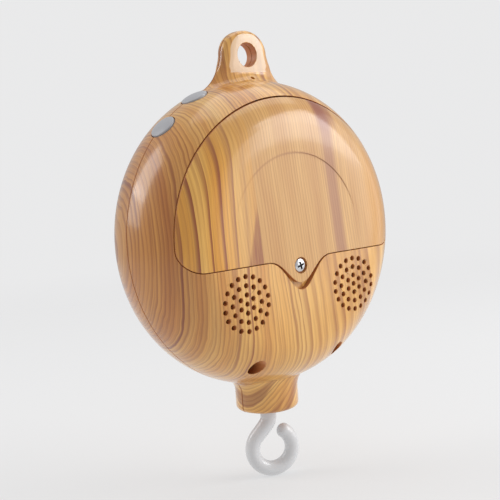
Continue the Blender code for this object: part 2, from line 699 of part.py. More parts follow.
def make_front_shell():
    """Front half: plain dome with posts for the boards, the tray, the gearbox and the case screws."""
    shell = dome("front_shell", False, 0.0, finish=WOOD)
    join(shell, hanging_lug("front_lug"), neck_form("front_neck"))
    far = 1.6 * BODY_R
    cut(shell, block("back_half_space", (-far, -far, -SHELL_SEAM / 2.0), (far, far, 0.0400)))
    cut(shell, dome("front_cavity", False, WALL, low=-0.0020, steps=CAVITY_STEPS))
    root = -FRONT_DEPTH
    works = rod("case_post_0", WELL_R + BOSS_WALL, root, BOSS_LOW - GAP, place=(*SCREW_SPOTS[0], 0.0))
    for number, (x, rise) in enumerate(SCREW_SPOTS[1:], 1):
        join(works, rod(f"case_post_{number}", WELL_R + BOSS_WALL, root, BOSS_LOW - GAP,
                        place=(x, rise, 0.0)))
    for side in (-1, 1):
        for rise in BOARD_POST_RISES:
            join(works, rod(f"board_post_{side}_{rise}", BOARD_POST_R, root, BOARD_FACE - BOARD_THICK - GAP,
                            place=(side * BOARD_POST_X, rise, 0.0), steps=12))
        for x, rise in TRAY_POSTS:
            join(works, rod(f"tray_post_{side}_{x}", TRAY_POST_R, root, TRAY_FLOOR - GAP,
                            place=(side * x, rise, 0.0), steps=12))
        join(works, button_board_rib(side))
    for x in GEARBOX_SCREWS:
        join(works, rod(f"gearbox_pad_{x}", BOARD_POST_R + 0.0006, root, -GEARBOX_FRONT - GAP,
                        place=(x, GEARBOX_SCREW_RISE, 0.0), steps=12))
    keep_inside(works, dome("front_works_limit", False, WALL / 2.0, low=-0.0060, steps=CAVITY_STEPS))
    join(shell, works)
    for number, (x, rise) in enumerate(SCREW_SPOTS):
        cut(shell, rod(f"case_pilot_{number}", CASE_SHANK_R + GAP, WELL_SEAT - CASE_SCREW_LENGTH - 0.0012,
                       0.0040, place=(x, rise, 0.0), steps=12))
    for x in GEARBOX_SCREWS:
        cut(shell, rod(f"gearbox_pilot_{x}", SMALL_SHANK_R + GAP, root + WALL, 0.0,
                       place=(x, GEARBOX_SCREW_RISE, 0.0), steps=8))
    for side in (-1, 1):
        cut(shell, rod(f"board_pilot_{side}", SMALL_SHANK_R + GAP, BOARD_FACE - 0.0080, BOARD_FACE,
                       place=(side * BOARD_POST_X, BOARD_POST_RISES[1], 0.0), steps=8))
        cut(shell, rod(f"tray_pilot_{side}", SMALL_SHANK_R + GAP, TRAY_FLOOR - 0.0080, TRAY_FLOOR,
                       place=(side * TRAY_POSTS[1][0], TRAY_POSTS[1][1], 0.0), steps=8))
    return cut(shell, *shared_cutters())


def button_mid_frame():
    """Frame half way between the buttons: X along the rim, Y out of the back, Z outwards."""
    angle = math.radians(sum(BUTTON_ANGLES.values()) / 2.0)
    outward = Vector((math.cos(angle), math.sin(angle), 0.0))
    back = Vector((0.0, 0.0, 1.0))
    return Matrix((back.cross(outward), back, outward)).transposed().to_euler()


def button_board_rib(side):
    """A rib of the front shell that the button board stands on."""
    at = side * (BUTTON_BOARD_HALF - 0.0020)
    return block(f"button_rib_{side}", (at - 0.0015, -FRONT_DEPTH, BUTTON_BOARD_AT - 0.0015),
                 (at + 0.0015, BUTTON_BOARD_LOW - GAP, BUTTON_BOARD_AT + BOARD_THICK + 0.0015),
                 turn=button_mid_frame())


def make_door():
    """The battery door: a slice of the dome with two hinge tongues and a sunk screw hole."""
    door = slab("battery_cover", [door_outline(0.0, 2)], BOSS_LOW, BACK_DEPTH + 0.0050, DOOR_WOOD)
    keep_inside(door, dome("door_outside", True, 0.0))
    cut(door, dome("door_inside", True, DOOR_THICK, low=-0.0020))
    lip = dome("door_lip_inside", True, DOOR_LIP_THICK, low=-0.0020)
    keep_inside(lip, block("door_lip_zone", (-DOOR_R, DOOR_R - DOOR_LIP_REACH, 0.0),
                           (DOOR_R, DOOR_R + GAP, BACK_DEPTH)))
    cut(door, lip)
    for side in (-1, 1):
        low = DOOR_HINGE_BACK - TONGUE_DROP
        root = tongue_box(side, 0.0, TONGUE_ROOT_LOW, TONGUE_ROOT_HIGH, low, TONGUE_ROOT_BACK,
                          f"tongue_root_{side}")
        tip = tongue_box(side, 0.0, TONGUE_ROOT_LOW + 0.0002, DOOR_HINGE_RISE + TONGUE_REACH, low,
                         low + TONGUE_THICK, f"tongue_tip_{side}")
        join(door, root, tip)
    tilt = math.atan2(ARCH_DEPTH, ARCH_R - ARCH_FADE)
    arch = rod("arch", ARCH_R, 0.0, 0.0040, place=(0.0, 0.0, BACK_DEPTH + ARCH_FADE * math.tan(tilt)),
               turn=(-tilt, 0.0, 0.0), steps=40)
    place = (0.0, DOOR_SCREW_RISE, 0.0)
    sink = rod("screw_sink", SCREW_HEAD_R + GAP, BACK_DEPTH - SCREW_SINK, BACK_DEPTH + 0.0010, place=place)
    hole = rod("screw_hole", DOOR_SCREW_SHANK_R + GAP, BACK_DEPTH - 0.0030, BACK_DEPTH, place=place)
    return cut(door, arch, sink, hole)


def make_screw(name, place, turn, head_r, head_h, shank_r, length, cross=True, steps=16):
    """A cross-head screw, its head standing on the origin and its shank below."""
    profile = [(0.0, head_h), (head_r * 0.75, head_h), (head_r, head_h * 0.55), (head_r, 0.0),
               (shank_r, 0.0), (shank_r, -length + shank_r), (0.0, -length)]
    screw = turned(name, profile, STEEL, place, turn, steps)
    if cross:
        long, half = head_r * 0.62, CROSS_W / 2.0
        for number, (x, y) in enumerate(((long, half), (half, long))):
            slot = block(f"{name}_slot_{number}", (-x, -y, head_h - CROSS_DEPTH), (x, y, head_h + 0.0010),
                         place=place, turn=turn)
            cut(screw, slot)
    return screw


DOOR_HINGE_BACK = body_depth(DOOR_R)
TONGUE_ROOT_BACK = body_depth(math.hypot(TONGUE_X + TONGUE_W / 2.0, TONGUE_ROOT_HIGH)) - GAP


def make_fasteners():
    head_seat = BACK_DEPTH - SCREW_SINK + GAP
    make_screw("cover_screw", (0.0, DOOR_SCREW_RISE, head_seat), (0.0, 0.0, 0.0), SCREW_HEAD_R, SCREW_HEAD_H,
               DOOR_SCREW_SHANK_R, head_seat - DOOR_SCREW_TIP)
    top = BACK_DEPTH - DOOR_THICK - GAP
    ring("cover_screw_washer", DOOR_SCREW_SHANK_R + GAP, WASHER_R, top - WASHER_THICK, top, STEEL,
         (0.0, DOOR_SCREW_RISE, 0.0), steps=16)
    for number, (x, rise) in enumerate(SCREW_SPOTS, 1):
        make_screw(f"case_screw_{number}", (x, rise, WELL_SEAT + GAP), (0.0, 0.0, 0.0), CASE_HEAD_R,
                   CASE_HEAD_H, CASE_SHANK_R, CASE_SCREW_LENGTH, steps=12)
    for number, side in enumerate((-1, 1), 1):
        make_screw(f"board_screw_{number}", (side * BOARD_POST_X, BOARD_POST_RISES[1], BOARD_FACE + GAP),
                   (0.0, 0.0, 0.0), SMALL_HEAD_R, SMALL_HEAD_H, SMALL_SHANK_R, SMALL_SCREW_LENGTH, False, 10)
        make_screw(f"tray_screw_{number}", (side * TRAY_POSTS[1][0], TRAY_POSTS[1][1],
                                            TRAY_FLOOR + TRAY_WALL + GAP),
                   (0.0, 0.0, 0.0), SMALL_HEAD_R, SMALL_HEAD_H, SMALL_SHANK_R, SMALL_SCREW_LENGTH, False, 10)
    for number, x in enumerate(GEARBOX_SCREWS, 1):
        make_screw(f"gearbox_screw_{number}", (x, GEARBOX_SCREW_RISE, -GEARBOX_FRONT + GEARBOX_FLANGE + GAP),
                   (0.0, 0.0, 0.0), SMALL_HEAD_R, SMALL_HEAD_H, SMALL_SHANK_R, GEARBOX_SCREW_LENGTH,
                   False, 10)


def make_button(name):
    """An oval button with a domed top, a flange behind the shells and a short stem."""
    top = BODY_R + BUTTON_PROUD
    stem_low = (BUTTON_BOARD_AT + BOARD_THICK + SWITCH_H + SWITCH_PLUNGER_H) * 1.0125 + BUTTON_TRAVEL + 0.0004
    profile = [(0.0, top), (BUTTON_HALF_L * 0.5, top - BUTTON_DOME * 0.2),
               (BUTTON_HALF_L * 0.85, top - BUTTON_DOME * 0.6), (BUTTON_HALF_L, top - BUTTON_DOME * 1.5),
               (BUTTON_HALF_L, BUTTON_FLANGE_AT), (BUTTON_HALF_L + BUTTON_FLANGE, BUTTON_FLANGE_AT),
               (BUTTON_HALF_L + BUTTON_FLANGE, BUTTON_FLANGE_AT - BUTTON_FLANGE_H),
               (BUTTON_STEM_R, BUTTON_FLANGE_AT - BUTTON_FLANGE_H), (BUTTON_STEM_R, stem_low),
               (0.0, stem_low)]
    shape = bmesh.new()
    points = [shape.verts.new((radius, 0.0, height)) for radius, height in profile]
    edges = [shape.edges.new(pair) for pair in zip(points, points[1:])]
    bmesh.ops.spin(shape, geom=points + edges, cent=(0.0, 0.0, 0.0), axis=(0.0, 0.0, 1.0), angle=FULL_TURN,
                   steps=20, use_merge=True)
    bmesh.ops.remove_doubles(shape, verts=shape.verts, dist=0.000001)
    bmesh.ops.recalc_face_normals(shape, faces=shape.faces)
    bmesh.ops.scale(shape, verts=shape.verts, vec=(BUTTON_HALF_W / BUTTON_HALF_L, 1.0, 1.0))
    place, turn = button_axis(name)
    return hold(name, mesh_of(shape, name), GREY, place, turn)


def make_button_board():
    turn = button_mid_frame()
    block("button_board", (-BUTTON_BOARD_HALF, BUTTON_BOARD_LOW, BUTTON_BOARD_AT),
          (BUTTON_BOARD_HALF, BUTTON_BOARD_HIGH, BUTTON_BOARD_AT + BOARD_THICK), BOARD_GREEN, turn=turn)
    angles = list(BUTTON_ANGLES.values())
    spread = math.radians(angles[0] - angles[1]) / 2.0
    seat = BUTTON_BOARD_AT + BOARD_THICK + GAP
    for name, side in (("power_switch", 1), ("volume_switch", -1)):
        x = side * (seat + SWITCH_H) * math.tan(spread)
        half = SWITCH_SIZE / 2.0
        body = block(name, (x - half, SWITCH_BACK - half, seat),
                     (x + half, SWITCH_BACK + half, seat + SWITCH_H - GAP), BLACK, turn=turn)
        plunger = rod(name + "_plunger", SWITCH_PLUNGER_R, seat + SWITCH_H / 2.0,
                      seat + SWITCH_H + SWITCH_PLUNGER_H - GAP, turn=turn, steps=12)
        plunger.data.transform(Matrix.Translation((x, SWITCH_BACK, 0.0)))
        join(body, plunger)


def make_speaker(label, side):
    place = (side * SPEAKER_X, SPEAKER_RISE, 0.0)
    face, back = SPEAKER_FACE, SPEAKER_FACE - SPEAKER_DEPTH
    dish = SPEAKER_FLANGE - 0.0002
    inner = SPEAKER_R - 0.0014
    frame = [(inner, face), (SPEAKER_R, face), (SPEAKER_R, face - SPEAKER_FLANGE), (inner + GAP, face - dish),
             (MAGNET_R + 0.0005, back), (0.0020, back), (0.0020, back + 0.0008), (MAGNET_R, back + 0.0008),
             (inner, face - SPEAKER_FLANGE)]
    turned(f"speaker_frame_{label}", frame, STEEL, place, steps=18)
    rim = inner - GAP
    top = face - GAP
    fold = (rim - CONE_FOLD_W, top - CONE_FOLD_H)
    cone = [(0.0, top - CONE_CAP_SINK), (CONE_CAP_R, top - CONE_SINK), fold, (rim, top),
            (rim, top - CONE_THICK), (fold[0], fold[1] - CONE_THICK),
            (CONE_CAP_R, top - CONE_SINK - CONE_THICK), (0.0, top - CONE_SINK - CONE_THICK)]
    turned(f"speaker_cone_{label}", cone, PAPER, place, steps=18)
    rod(f"speaker_magnet_{label}", MAGNET_R, back - GAP - MAGNET_THICK, back - GAP, MAGNET_GREY, place,
        steps=16)


def make_tray():
    tray = slab("battery_tray", [bay_outline(TRAY_WALL)], TRAY_FLOOR, TRAY_RIM, BLACK)
    cut(tray, slab("tray_hollow", [bay_outline(0.0)], TRAY_FLOOR + TRAY_WALL, TRAY_RIM + 0.0020))
    for side in (-1, 1):
        cut(tray, rod(f"tray_hole_{side}", SMALL_SHANK_R + GAP, TRAY_FLOOR - 0.0010, TRAY_FLOOR + 0.0020,
                      place=(side * TRAY_POSTS[1][0], TRAY_POSTS[1][1], 0.0), steps=8))


def cell_rise(number):
    return TRAY_INNER_LOW + CELL_PITCH * (number + 0.5)


def make_cells():
    plate = TRAY_HALF_W - GAP - CONTACT_THICK
    for number in range(CELL_COUNT):
        side = 1 if number % 2 else -1
        nub_end = plate - GAP
        body_end = nub_end - NUB_H
        profile = [(0.0, nub_end), (NUB_R, nub_end), (NUB_R, body_end), (CELL_R - CELL_EDGE, body_end),
                   (CELL_R, body_end - CELL_EDGE), (CELL_R, body_end - CELL_LENGTH),
                   (0.0, body_end - CELL_LENGTH)]
        turned(f"battery_cell_{number + 1}", profile, CELL_SLEEVE, (0.0, cell_rise(number), CELL_BACK),
               (0.0, side * math.pi / 2.0, 0.0), 16)
        make_spring(number, -side, CELL_LENGTH - body_end + GAP, plate - GAP)
    low, high = CELL_BACK - CONTACT_HALF, TRAY_RIM - GAP
    for name, side, first, last in (("contact_positive", -1, 0, 0), ("contact_bridge_left", -1, 1, 2),
                                    ("contact_bridge_right", 1, 0, 1), ("contact_negative", 1, 2, 2)):
        block(name, (min(side * plate, side * (plate + CONTACT_THICK)), cell_rise(first) - CONTACT_HALF, low),
              (max(side * plate, side * (plate + CONTACT_THICK)), cell_rise(last) + CONTACT_HALF, high),
              STEEL)


def make_spring(number, side, start, end):
    """A conical coil between a cell's flat end and its contact plate."""
    name = f"battery_spring_{number + 1}"
    curve = bpy.data.curves.new(name, "CURVE")
    curve.dimensions = "3D"
    curve.bevel_depth = SPRING_WIRE
    curve.bevel_resolution = 1
    curve.use_fill_caps = True
    line = curve.splines.new("POLY")
    count = 10 * SPRING_TURNS + 1
    line.points.add(count - 1)
    for i in range(count):
        share = i / (count - 1)
        radius = SPRING_R * (0.62 + 0.38 * share)
        angle = FULL_TURN * SPRING_TURNS * share
        along = start + SPRING_WIRE + (end - start - 2.0 * SPRING_WIRE) * share
        line.points[i].co = (side * along, radius * math.cos(angle), radius * math.sin(angle), 1.0)
    drawn = bpy.data.objects.new(name + "_path", curve)
    cutters.objects.link(drawn)
    mesh = bpy.data.meshes.new_from_object(drawn.evaluated_get(bpy.context.evaluated_depsgraph_get()))
    bpy.data.objects.remove(drawn, do_unlink=True)
    weld(mesh)
    return hold(name, mesh, STEEL, (0.0, cell_rise(number), CELL_BACK))


def weld(mesh):
    shape = bmesh.new()
    shape.from_mesh(mesh)
    bmesh.ops.remove_doubles(shape, verts=shape.verts, dist=0.000001)
    bmesh.ops.recalc_face_normals(shape, faces=shape.faces)
    shape.to_mesh(mesh)
    shape.free()


def make_main_board():
    board = block("main_board", (-BOARD_HALF_W, BOARD_LOW, BOARD_FACE - BOARD_THICK),
                  (BOARD_HALF_W, BOARD_HIGH, BOARD_FACE), BOARD_GREEN)
    for side in (-1, 1):
        cut(board, rod(f"board_hole_{side}", SMALL_SHANK_R + GAP, BOARD_FACE - 0.0030, BOARD_FACE + 0.0010,
                       place=(side * BOARD_POST_X, BOARD_POST_RISES[1], 0.0), steps=8))
    middle = (BOARD_LOW + BOARD_HIGH) / 2.0
    seat = BOARD_FACE + GAP
    block("sound_chip", (-CHIP_HALF - 0.0060, middle - CHIP_HALF, seat),
          (CHIP_HALF - 0.0060, middle + CHIP_HALF, seat + CHIP_H), BLACK)
    rod("capacitor", CAPACITOR_R, seat, seat + CAPACITOR_H, BLACK, (0.0090, middle + 0.0040, 0.0), steps=16)
    block("lead_socket", (LEAD_SOCKET_X, BOARD_LOW + LEAD_SOCKET_LIFT, seat),
          (LEAD_SOCKET_X + LEAD_SOCKET_W, BOARD_LOW + LEAD_SOCKET_LIFT + LEAD_SOCKET_D, seat + LEAD_SOCKET_H),
          GEAR_WHITE)


def tooth_outline(teeth, first_angle):
    """A toothed outline with a tooth centred on first_angle; flanks are straight."""
    pitch_r = MODULE * teeth / 2.0
    half = MODULE * math.pi / 4.0 - BACKLASH / 4.0
    tip_half = half - 0.85 * MODULE * math.tan(math.radians(24.0))
    flank = [(pitch_r - 1.25 * MODULE, half), (pitch_r, half), (pitch_r + 0.85 * MODULE, tip_half)]
    if teeth > 12:
        flank.pop(1)
    corners = [(radius, -wide / pitch_r) for radius, wide in flank]
    corners += [(radius, wide / pitch_r) for radius, wide in reversed(flank)]
    points = []
    for i in range(teeth):
        middle = math.radians(first_angle) + FULL_TURN * i / teeth
        points += [(radius * math.cos(middle + swing), radius * math.sin(middle + swing))
                   for radius, swing in corners]
    return points


def upright(x, out, level=0.0):
    """Bench place of a point given by its plan position and level."""
    return (x, level, -out)


def step_from(start, angle):
    return (start[0] + CENTRE_DISTANCE * math.cos(math.radians(angle)),
            start[1] + CENTRE_DISTANCE * math.sin(math.radians(angle)))


OUTPUT_SPOT = (0.0, 0.0)
SECOND_SPOT = step_from(OUTPUT_SPOT, SECOND_GEAR_ANGLE)
FIRST_SPOT = step_from(SECOND_SPOT, FIRST_GEAR_ANGLE)
MOTOR_SPOT = step_from(FIRST_SPOT, MOTOR_ANGLE)
HALF_TOOTH = 180.0 / WHEEL_TEETH


def gear_wheel(name, spot, level, towards, bore_r, finish=GEAR_WHITE):
    low = GEAR_LEVEL + level * LEVEL_PITCH
    outlines = [tooth_outline(WHEEL_TEETH, towards + HALF_TOOTH), circle(bore_r, sides=12)]
    return slab(name, outlines, low, low + GEAR_THICK, finish, upright(*spot), UPRIGHT)


def gear_pinion(name, spot, level, back_to, bore_r, rise=GEAR_THICK, finish=None):
    low = GEAR_LEVEL + level * LEVEL_PITCH
    outlines = [tooth_outline(PINION_TEETH, back_to + 180.0), circle(bore_r, sides=12)]
    return slab(name, outlines, low, low + rise, finish, upright(*spot), UPRIGHT)


def make_gear_train():
    bore = GEAR_PIN_R + GAP
    gear_wheel("output_gear", OUTPUT_SPOT, 0, SECOND_GEAR_ANGLE, HOOK_SHAFT_R + GAP)
    second = gear_wheel("second_gear", SECOND_SPOT, 1, FIRST_GEAR_ANGLE, bore)
    reach = LEVEL_PITCH + GEAR_THICK / 2.0
    join(second, gear_pinion("second_pinion", SECOND_SPOT, 0, SECOND_GEAR_ANGLE, bore, reach))
    first = gear_wheel("first_gear", FIRST_SPOT, 2, MOTOR_ANGLE, bore)
    join(first, gear_pinion("first_pinion", FIRST_SPOT, 1, FIRST_GEAR_ANGLE, bore, reach))
    gear_pinion("motor_pinion", MOTOR_SPOT, 2, MOTOR_ANGLE, MOTOR_SHAFT_R + GAP, finish=GEAR_WHITE)
    for name, spot in (("gear_pin_1", FIRST_SPOT), ("gear_pin_2", SECOND_SPOT)):
        rod(name, GEAR_PIN_R, GEAR_LEVEL - PLATE_CLEAR - PLATE_THICK, COVER_LEVEL + PLATE_THICK, STEEL,
            upright(*spot), UPRIGHT, 12)


COVER_LEVEL = GEAR_LEVEL + 2.0 * LEVEL_PITCH + GEAR_THICK + PLATE_CLEAR
MOTOR_LOW = COVER_LEVEL + PLATE_THICK + GAP


def make_gearbox():
    """Base with pillars and a screw flange, and the cover plate that carries the motor."""
    low = GEAR_LEVEL - PLATE_CLEAR - PLATE_THICK
    front = GEARBOX_FRONT - 0.0008
    outline = [(PLATE_LEFT, PLATE_BACK), (PLATE_RIGHT, PLATE_BACK), (PLATE_RIGHT, PLATE_SHOULDER),
               (FLANGE_RIGHT, front), (FLANGE_LEFT, front), (PLATE_LEFT, PLATE_SHOULDER)]
    bores = [circle(HOOK_SHAFT_R + GAP, sides=12)]
    bores += [circle(GEAR_PIN_R + GAP, spot, 12) for spot in (SECOND_SPOT, FIRST_SPOT)]
    base = slab("gearbox_base", [outline, *bores], low, low + PLATE_THICK, BLACK, turn=UPRIGHT)
    for number, spot in enumerate(PILLAR_SPOTS):
        join(base, rod(f"pillar_{number}", PILLAR_R, low + PLATE_THICK / 2.0, COVER_LEVEL - GAP,
                       place=upright(*spot), turn=UPRIGHT, steps=12))
    join(base, block("screw_flange", (FLANGE_LEFT, low + PLATE_THICK / 2.0, -GEARBOX_FRONT),
                     (FLANGE_RIGHT, GEARBOX_SCREW_RISE + 2.0 * SMALL_HEAD_R,
                      -GEARBOX_FRONT + GEARBOX_FLANGE)))
    for x in GEARBOX_SCREWS:
        cut(base, rod(f"flange_hole_{x}", SMALL_SHANK_R + GAP, -FRONT_DEPTH, GEARBOX_FLANGE,
                      place=(x, GEARBOX_SCREW_RISE, 0.0), steps=8))
    lid = [(PLATE_LEFT, PLATE_BACK), (PLATE_RIGHT, PLATE_BACK), (PLATE_RIGHT, front), (PLATE_LEFT, front)]
    holes = [circle(GEAR_PIN_R + GAP, spot, 12) for spot in (SECOND_SPOT, FIRST_SPOT)]
    holes.append(circle(MOTOR_SHAFT_R + 2.0 * GAP, MOTOR_SPOT, 12))
    slab("gearbox_cover", [lid, *holes], COVER_LEVEL, COVER_LEVEL + PLATE_THICK, BLACK, turn=UPRIGHT)


def flat_sided(half_w, half_d, steps=8):
    """A round outline with two flats."""
    edge = math.asin(half_d / half_w)
    points = []
    for start in (0.0, math.pi):
        for i in range(steps):
            angle = start - edge + 2.0 * edge * i / (steps - 1)
            points.append((half_w * math.cos(angle), half_w * math.sin(angle)))
    return points


def make_motor():
    place = upright(*MOTOR_SPOT)
    top = MOTOR_LOW + MOTOR_LENGTH
    can = slab("motor", [flat_sided(MOTOR_HALF_W, MOTOR_HALF_D)], MOTOR_LOW, top - MOTOR_CAP_H, STEEL,
               place, UPRIGHT)
    cut(can, rod("motor_bore", MOTOR_SHAFT_R + GAP, MOTOR_LOW - GAP, MOTOR_LOW + MOTOR_BORE_H,
                 place=place, turn=UPRIGHT, steps=12))
    slab("motor_end_cap", [flat_sided(MOTOR_HALF_W - MOTOR_CAP_STEP, MOTOR_HALF_D - MOTOR_CAP_STEP)],
         top - MOTOR_CAP_H + GAP, top, BLACK, place, UPRIGHT)
    rod("motor_shaft", MOTOR_SHAFT_R, GEAR_LEVEL + 2.0 * LEVEL_PITCH + GAP, MOTOR_LOW + MOTOR_BORE_H - GAP,
        STEEL, place, UPRIGHT, 12)


def make_hook_drive():
    """Bush in the neck, steel shaft up to the output gear, and the clip that holds it."""
    bore = SHANK_R + GAP
    ledge = BUSH_FLANGE_TOP - BUSH_FLANGE_H
    sleeve = [(bore, BUSH_FLANGE_TOP), (BUSH_FLANGE_R, BUSH_FLANGE_TOP), (BUSH_FLANGE_R, ledge),
              (BUSH_R, ledge), (BUSH_R, BUSH_LOW), (bore, BUSH_LOW)]
    turned("neck_bush", sleeve, GEAR_WHITE, turn=UPRIGHT, steps=18)
    rod("hook_shaft", HOOK_SHAFT_R, SHANK_TOP - SHAFT_GRIP, GEAR_LEVEL + GEAR_THICK, STEEL, turn=UPRIGHT)
    clip_low = BUSH_FLANGE_TOP + GAP
    ring("shaft_clip", HOOK_SHAFT_R + GAP, CLIP_R, clip_low, clip_low + CLIP_THICK, STEEL, turn=UPRIGHT,
         steps=16)


def hook_line():
    """Centre line of the hook in its own plane: straight shank, ease into the ring, round to the tip."""
    spots = [(0.0, SHANK_TOP), (0.0, HOOK_STRAIGHT_LOW)]
    join_angle = math.radians(HOOK_JOIN_ANGLE)
    end = (HOOK_RING_X + HOOK_RING_R * math.cos(join_angle),
           HOOK_RING_RISE + HOOK_RING_R * math.sin(join_angle))
    pull = HOOK_RING_R
    start_pull = (0.0, -pull)
    end_pull = (-pull * math.sin(join_angle), pull * math.cos(join_angle))
    for i in range(1, 5):
        t = i / 5.0
        a, b = 2 * t ** 3 - 3 * t ** 2 + 1, t ** 3 - 2 * t ** 2 + t
        c, d = 3 * t ** 2 - 2 * t ** 3, t ** 3 - t ** 2
        spots.append(tuple(a * p + b * q + c * r + d * s
                           for p, q, r, s in zip(spots[1], start_pull, end, end_pull)))
    count = 14
    for i in range(count + 1):
        angle = math.radians(HOOK_JOIN_ANGLE + (HOOK_TIP_ANGLE - HOOK_JOIN_ANGLE) * i / count)
        spots.append((HOOK_RING_X + HOOK_RING_R * math.cos(angle),
                      HOOK_RING_RISE + HOOK_RING_R * math.sin(angle)))
    tip = math.radians(HOOK_TIP_ANGLE + 90.0)
    for reach in (0.6, 0.9):
        x, rise = spots[-1] if reach == 0.6 else spots[-2]
        spots.append((x + reach * HOOK_WIRE_R * math.cos(tip), rise + reach * HOOK_WIRE_R * math.sin(tip)))
    return spots


def make_hook():
    turn = math.radians(HOOK_TURN)
    spots = hook_line()
    curve = bpy.data.curves.new("hook", "CURVE")
    curve.dimensions = "3D"
    curve.bevel_depth = 1.0
    curve.bevel_resolution = 2
    curve.use_fill_caps = True
    line = curve.splines.new("POLY")
    line.points.add(len(spots) - 1)
    for i, (x, rise) in enumerate(spots):
        line.points[i].co = (x * math.cos(turn), x * math.sin(turn), rise, 1.0)
        line.points[i].radius = SHANK_R if i < 2 else HOOK_WIRE_R
    line.points[-2].radius = HOOK_WIRE_R * 0.8
    line.points[-1].radius = HOOK_WIRE_R * 0.4
    drawn = bpy.data.objects.new("hook_path", curve)
    cutters.objects.link(drawn)
    mesh = bpy.data.meshes.new_from_object(drawn.evaluated_get(bpy.context.evaluated_depsgraph_get()))
    bpy.data.objects.remove(drawn, do_unlink=True)
    weld(mesh)
    hook = hold("hook", mesh, PALE, turn=UPRIGHT)
    return cut(hook, rod("shaft_socket", HOOK_SHAFT_R + GAP, SHANK_TOP - SHAFT_GRIP - GAP, SHANK_TOP + 0.0010,
                         turn=UPRIGHT))


make_back_shell()
make_front_shell()
make_door()
make_fasteners()
for button in BUTTON_ANGLES:
    make_button(button)
make_button_board()
make_speaker("left", -1)
make_speaker("right", 1)
make_tray()
make_cells()
make_main_board()
make_gear_train()
make_gearbox()
make_motor()
make_hook_drive()
make_hook()
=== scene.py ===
"""A round wood-look music box for a cot mobile, hanging on its eye, with a turning hook below."""

import json
import math

import bmesh
import bpy
from mathutils import Matrix, Vector


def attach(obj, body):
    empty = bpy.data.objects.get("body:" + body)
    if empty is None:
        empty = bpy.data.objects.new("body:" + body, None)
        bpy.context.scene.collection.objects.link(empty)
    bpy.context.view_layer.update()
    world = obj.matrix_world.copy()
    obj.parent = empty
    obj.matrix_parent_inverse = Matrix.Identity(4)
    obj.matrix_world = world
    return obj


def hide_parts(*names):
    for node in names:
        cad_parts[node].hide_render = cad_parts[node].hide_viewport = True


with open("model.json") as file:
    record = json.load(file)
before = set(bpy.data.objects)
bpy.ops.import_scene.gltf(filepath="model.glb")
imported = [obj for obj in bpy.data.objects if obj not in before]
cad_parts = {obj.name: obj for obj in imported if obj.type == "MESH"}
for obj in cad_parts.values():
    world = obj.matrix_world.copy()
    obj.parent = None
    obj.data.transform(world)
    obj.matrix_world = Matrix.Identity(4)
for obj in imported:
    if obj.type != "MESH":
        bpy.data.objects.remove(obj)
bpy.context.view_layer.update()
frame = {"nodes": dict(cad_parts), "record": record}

# Sizes are in metres. A point is given as (across, up, out of the back)

# Round body
GAP = 0.0003
SHELL_SEAM = 0.0003
BODY_R = 0.05498
BACK_DEPTH = 0.0241
BACK_RIM = 0.0166
FRONT_DEPTH = 0.0215
FRONT_RIM = 0.0158
WALL = 0.0022
MIDDLE_RINGS = (0.0, 0.0260, 0.0300, 0.0330, 0.0360)

# Hanging eye
EYE_RISE = 0.0639
EYE_HOLE_R = 0.0043
LUG_HALF_W = 0.0097
LUG_TOP = 0.00875
LUG_HALF_D = 0.0034
LUG_FILLET_R = 0.0180
LUG_BLEND_D = 0.0110
LUG_BLEND_H = 0.0062
LUG_BLEND_MOST = 0.95
LUG_PAD_DROP = 0.0052
LUG_ROOT = 0.0180
LUG_TOP_TURN = 88.0
LUG_TOP_SQUARE = 4
PAD_HALF_D = 0.00286
PAD_LOW_DROP = 0.0062
PAD_SQUARE = 3.0
BLEND_SQUARE = 1.3
BLEND_SPAN = 1.2
PINHOLE_R = 0.0008
PINHOLE_RISE = 0.0554
PINHOLE_BACK = 0.0050
PINHOLE_DEEP = 0.0018
PINHOLE_LEAN = math.radians(-45.0)

# Neck
NECK_R = 0.0116
NECK_LOW = -0.0651
NECK_EDGE = 0.0020
NECK_FILLET_R = 0.0050
NECK_BLEND_D = 0.0010
NECK_ROOT = 0.0170
NECK_LIP = 0.0018
BUSH_R = 0.0053
BUSH_FLANGE_R = 0.0075
BUSH_SHOULDER = -0.0543
BUSH_ROOM_TOP = -0.0480

# Battery cover and its seat
DOOR_R = 0.0486
DOOR_SQUASH = 0.0011
DOOR_LOW = -0.0084
DOOR_CORNER_R = 0.0080
DOOR_THICK = 0.0016
DOOR_FLOOR = 0.0014
DOOR_SINK = DOOR_THICK + GAP
SWING_ROOM = 0.00023
TAB_DROP = 0.0086
TAB_ROOM = 0.0022
TAB_HALF_W = 0.0155
ARCH_R = 0.0282
ARCH_DEPTH = 0.0003
ARCH_FADE = 0.0050
TONGUE_X = 0.0070
TONGUE_W = 0.0050
TONGUE_THICK = 0.0010
TONGUE_REACH = 0.0026
TONGUE_DROP = 0.0086
TONGUE_SWING = 0.0073
TONGUE_OVER = 0.0004
TONGUE_UNDER = 0.0012
TONGUE_PAST = 0.0005
TONGUE_DEEP = 0.0050
HINGE_RISE = 0.0479
HINGE_BACK = 0.0187546
ROOT_LOW = 0.0450
ROOT_HIGH = 0.0464
ROOT_BACK = 0.0192
ROOT_STEP = 0.0002
TRAY_HALF_W = 0.0276
TRAY_WALL = 0.0010
TRAY_RIM = 0.0146
TRAY_CORNER_R = 0.0030
TRAY_LOW = -0.0063
TRAY_HIGH = 0.0390

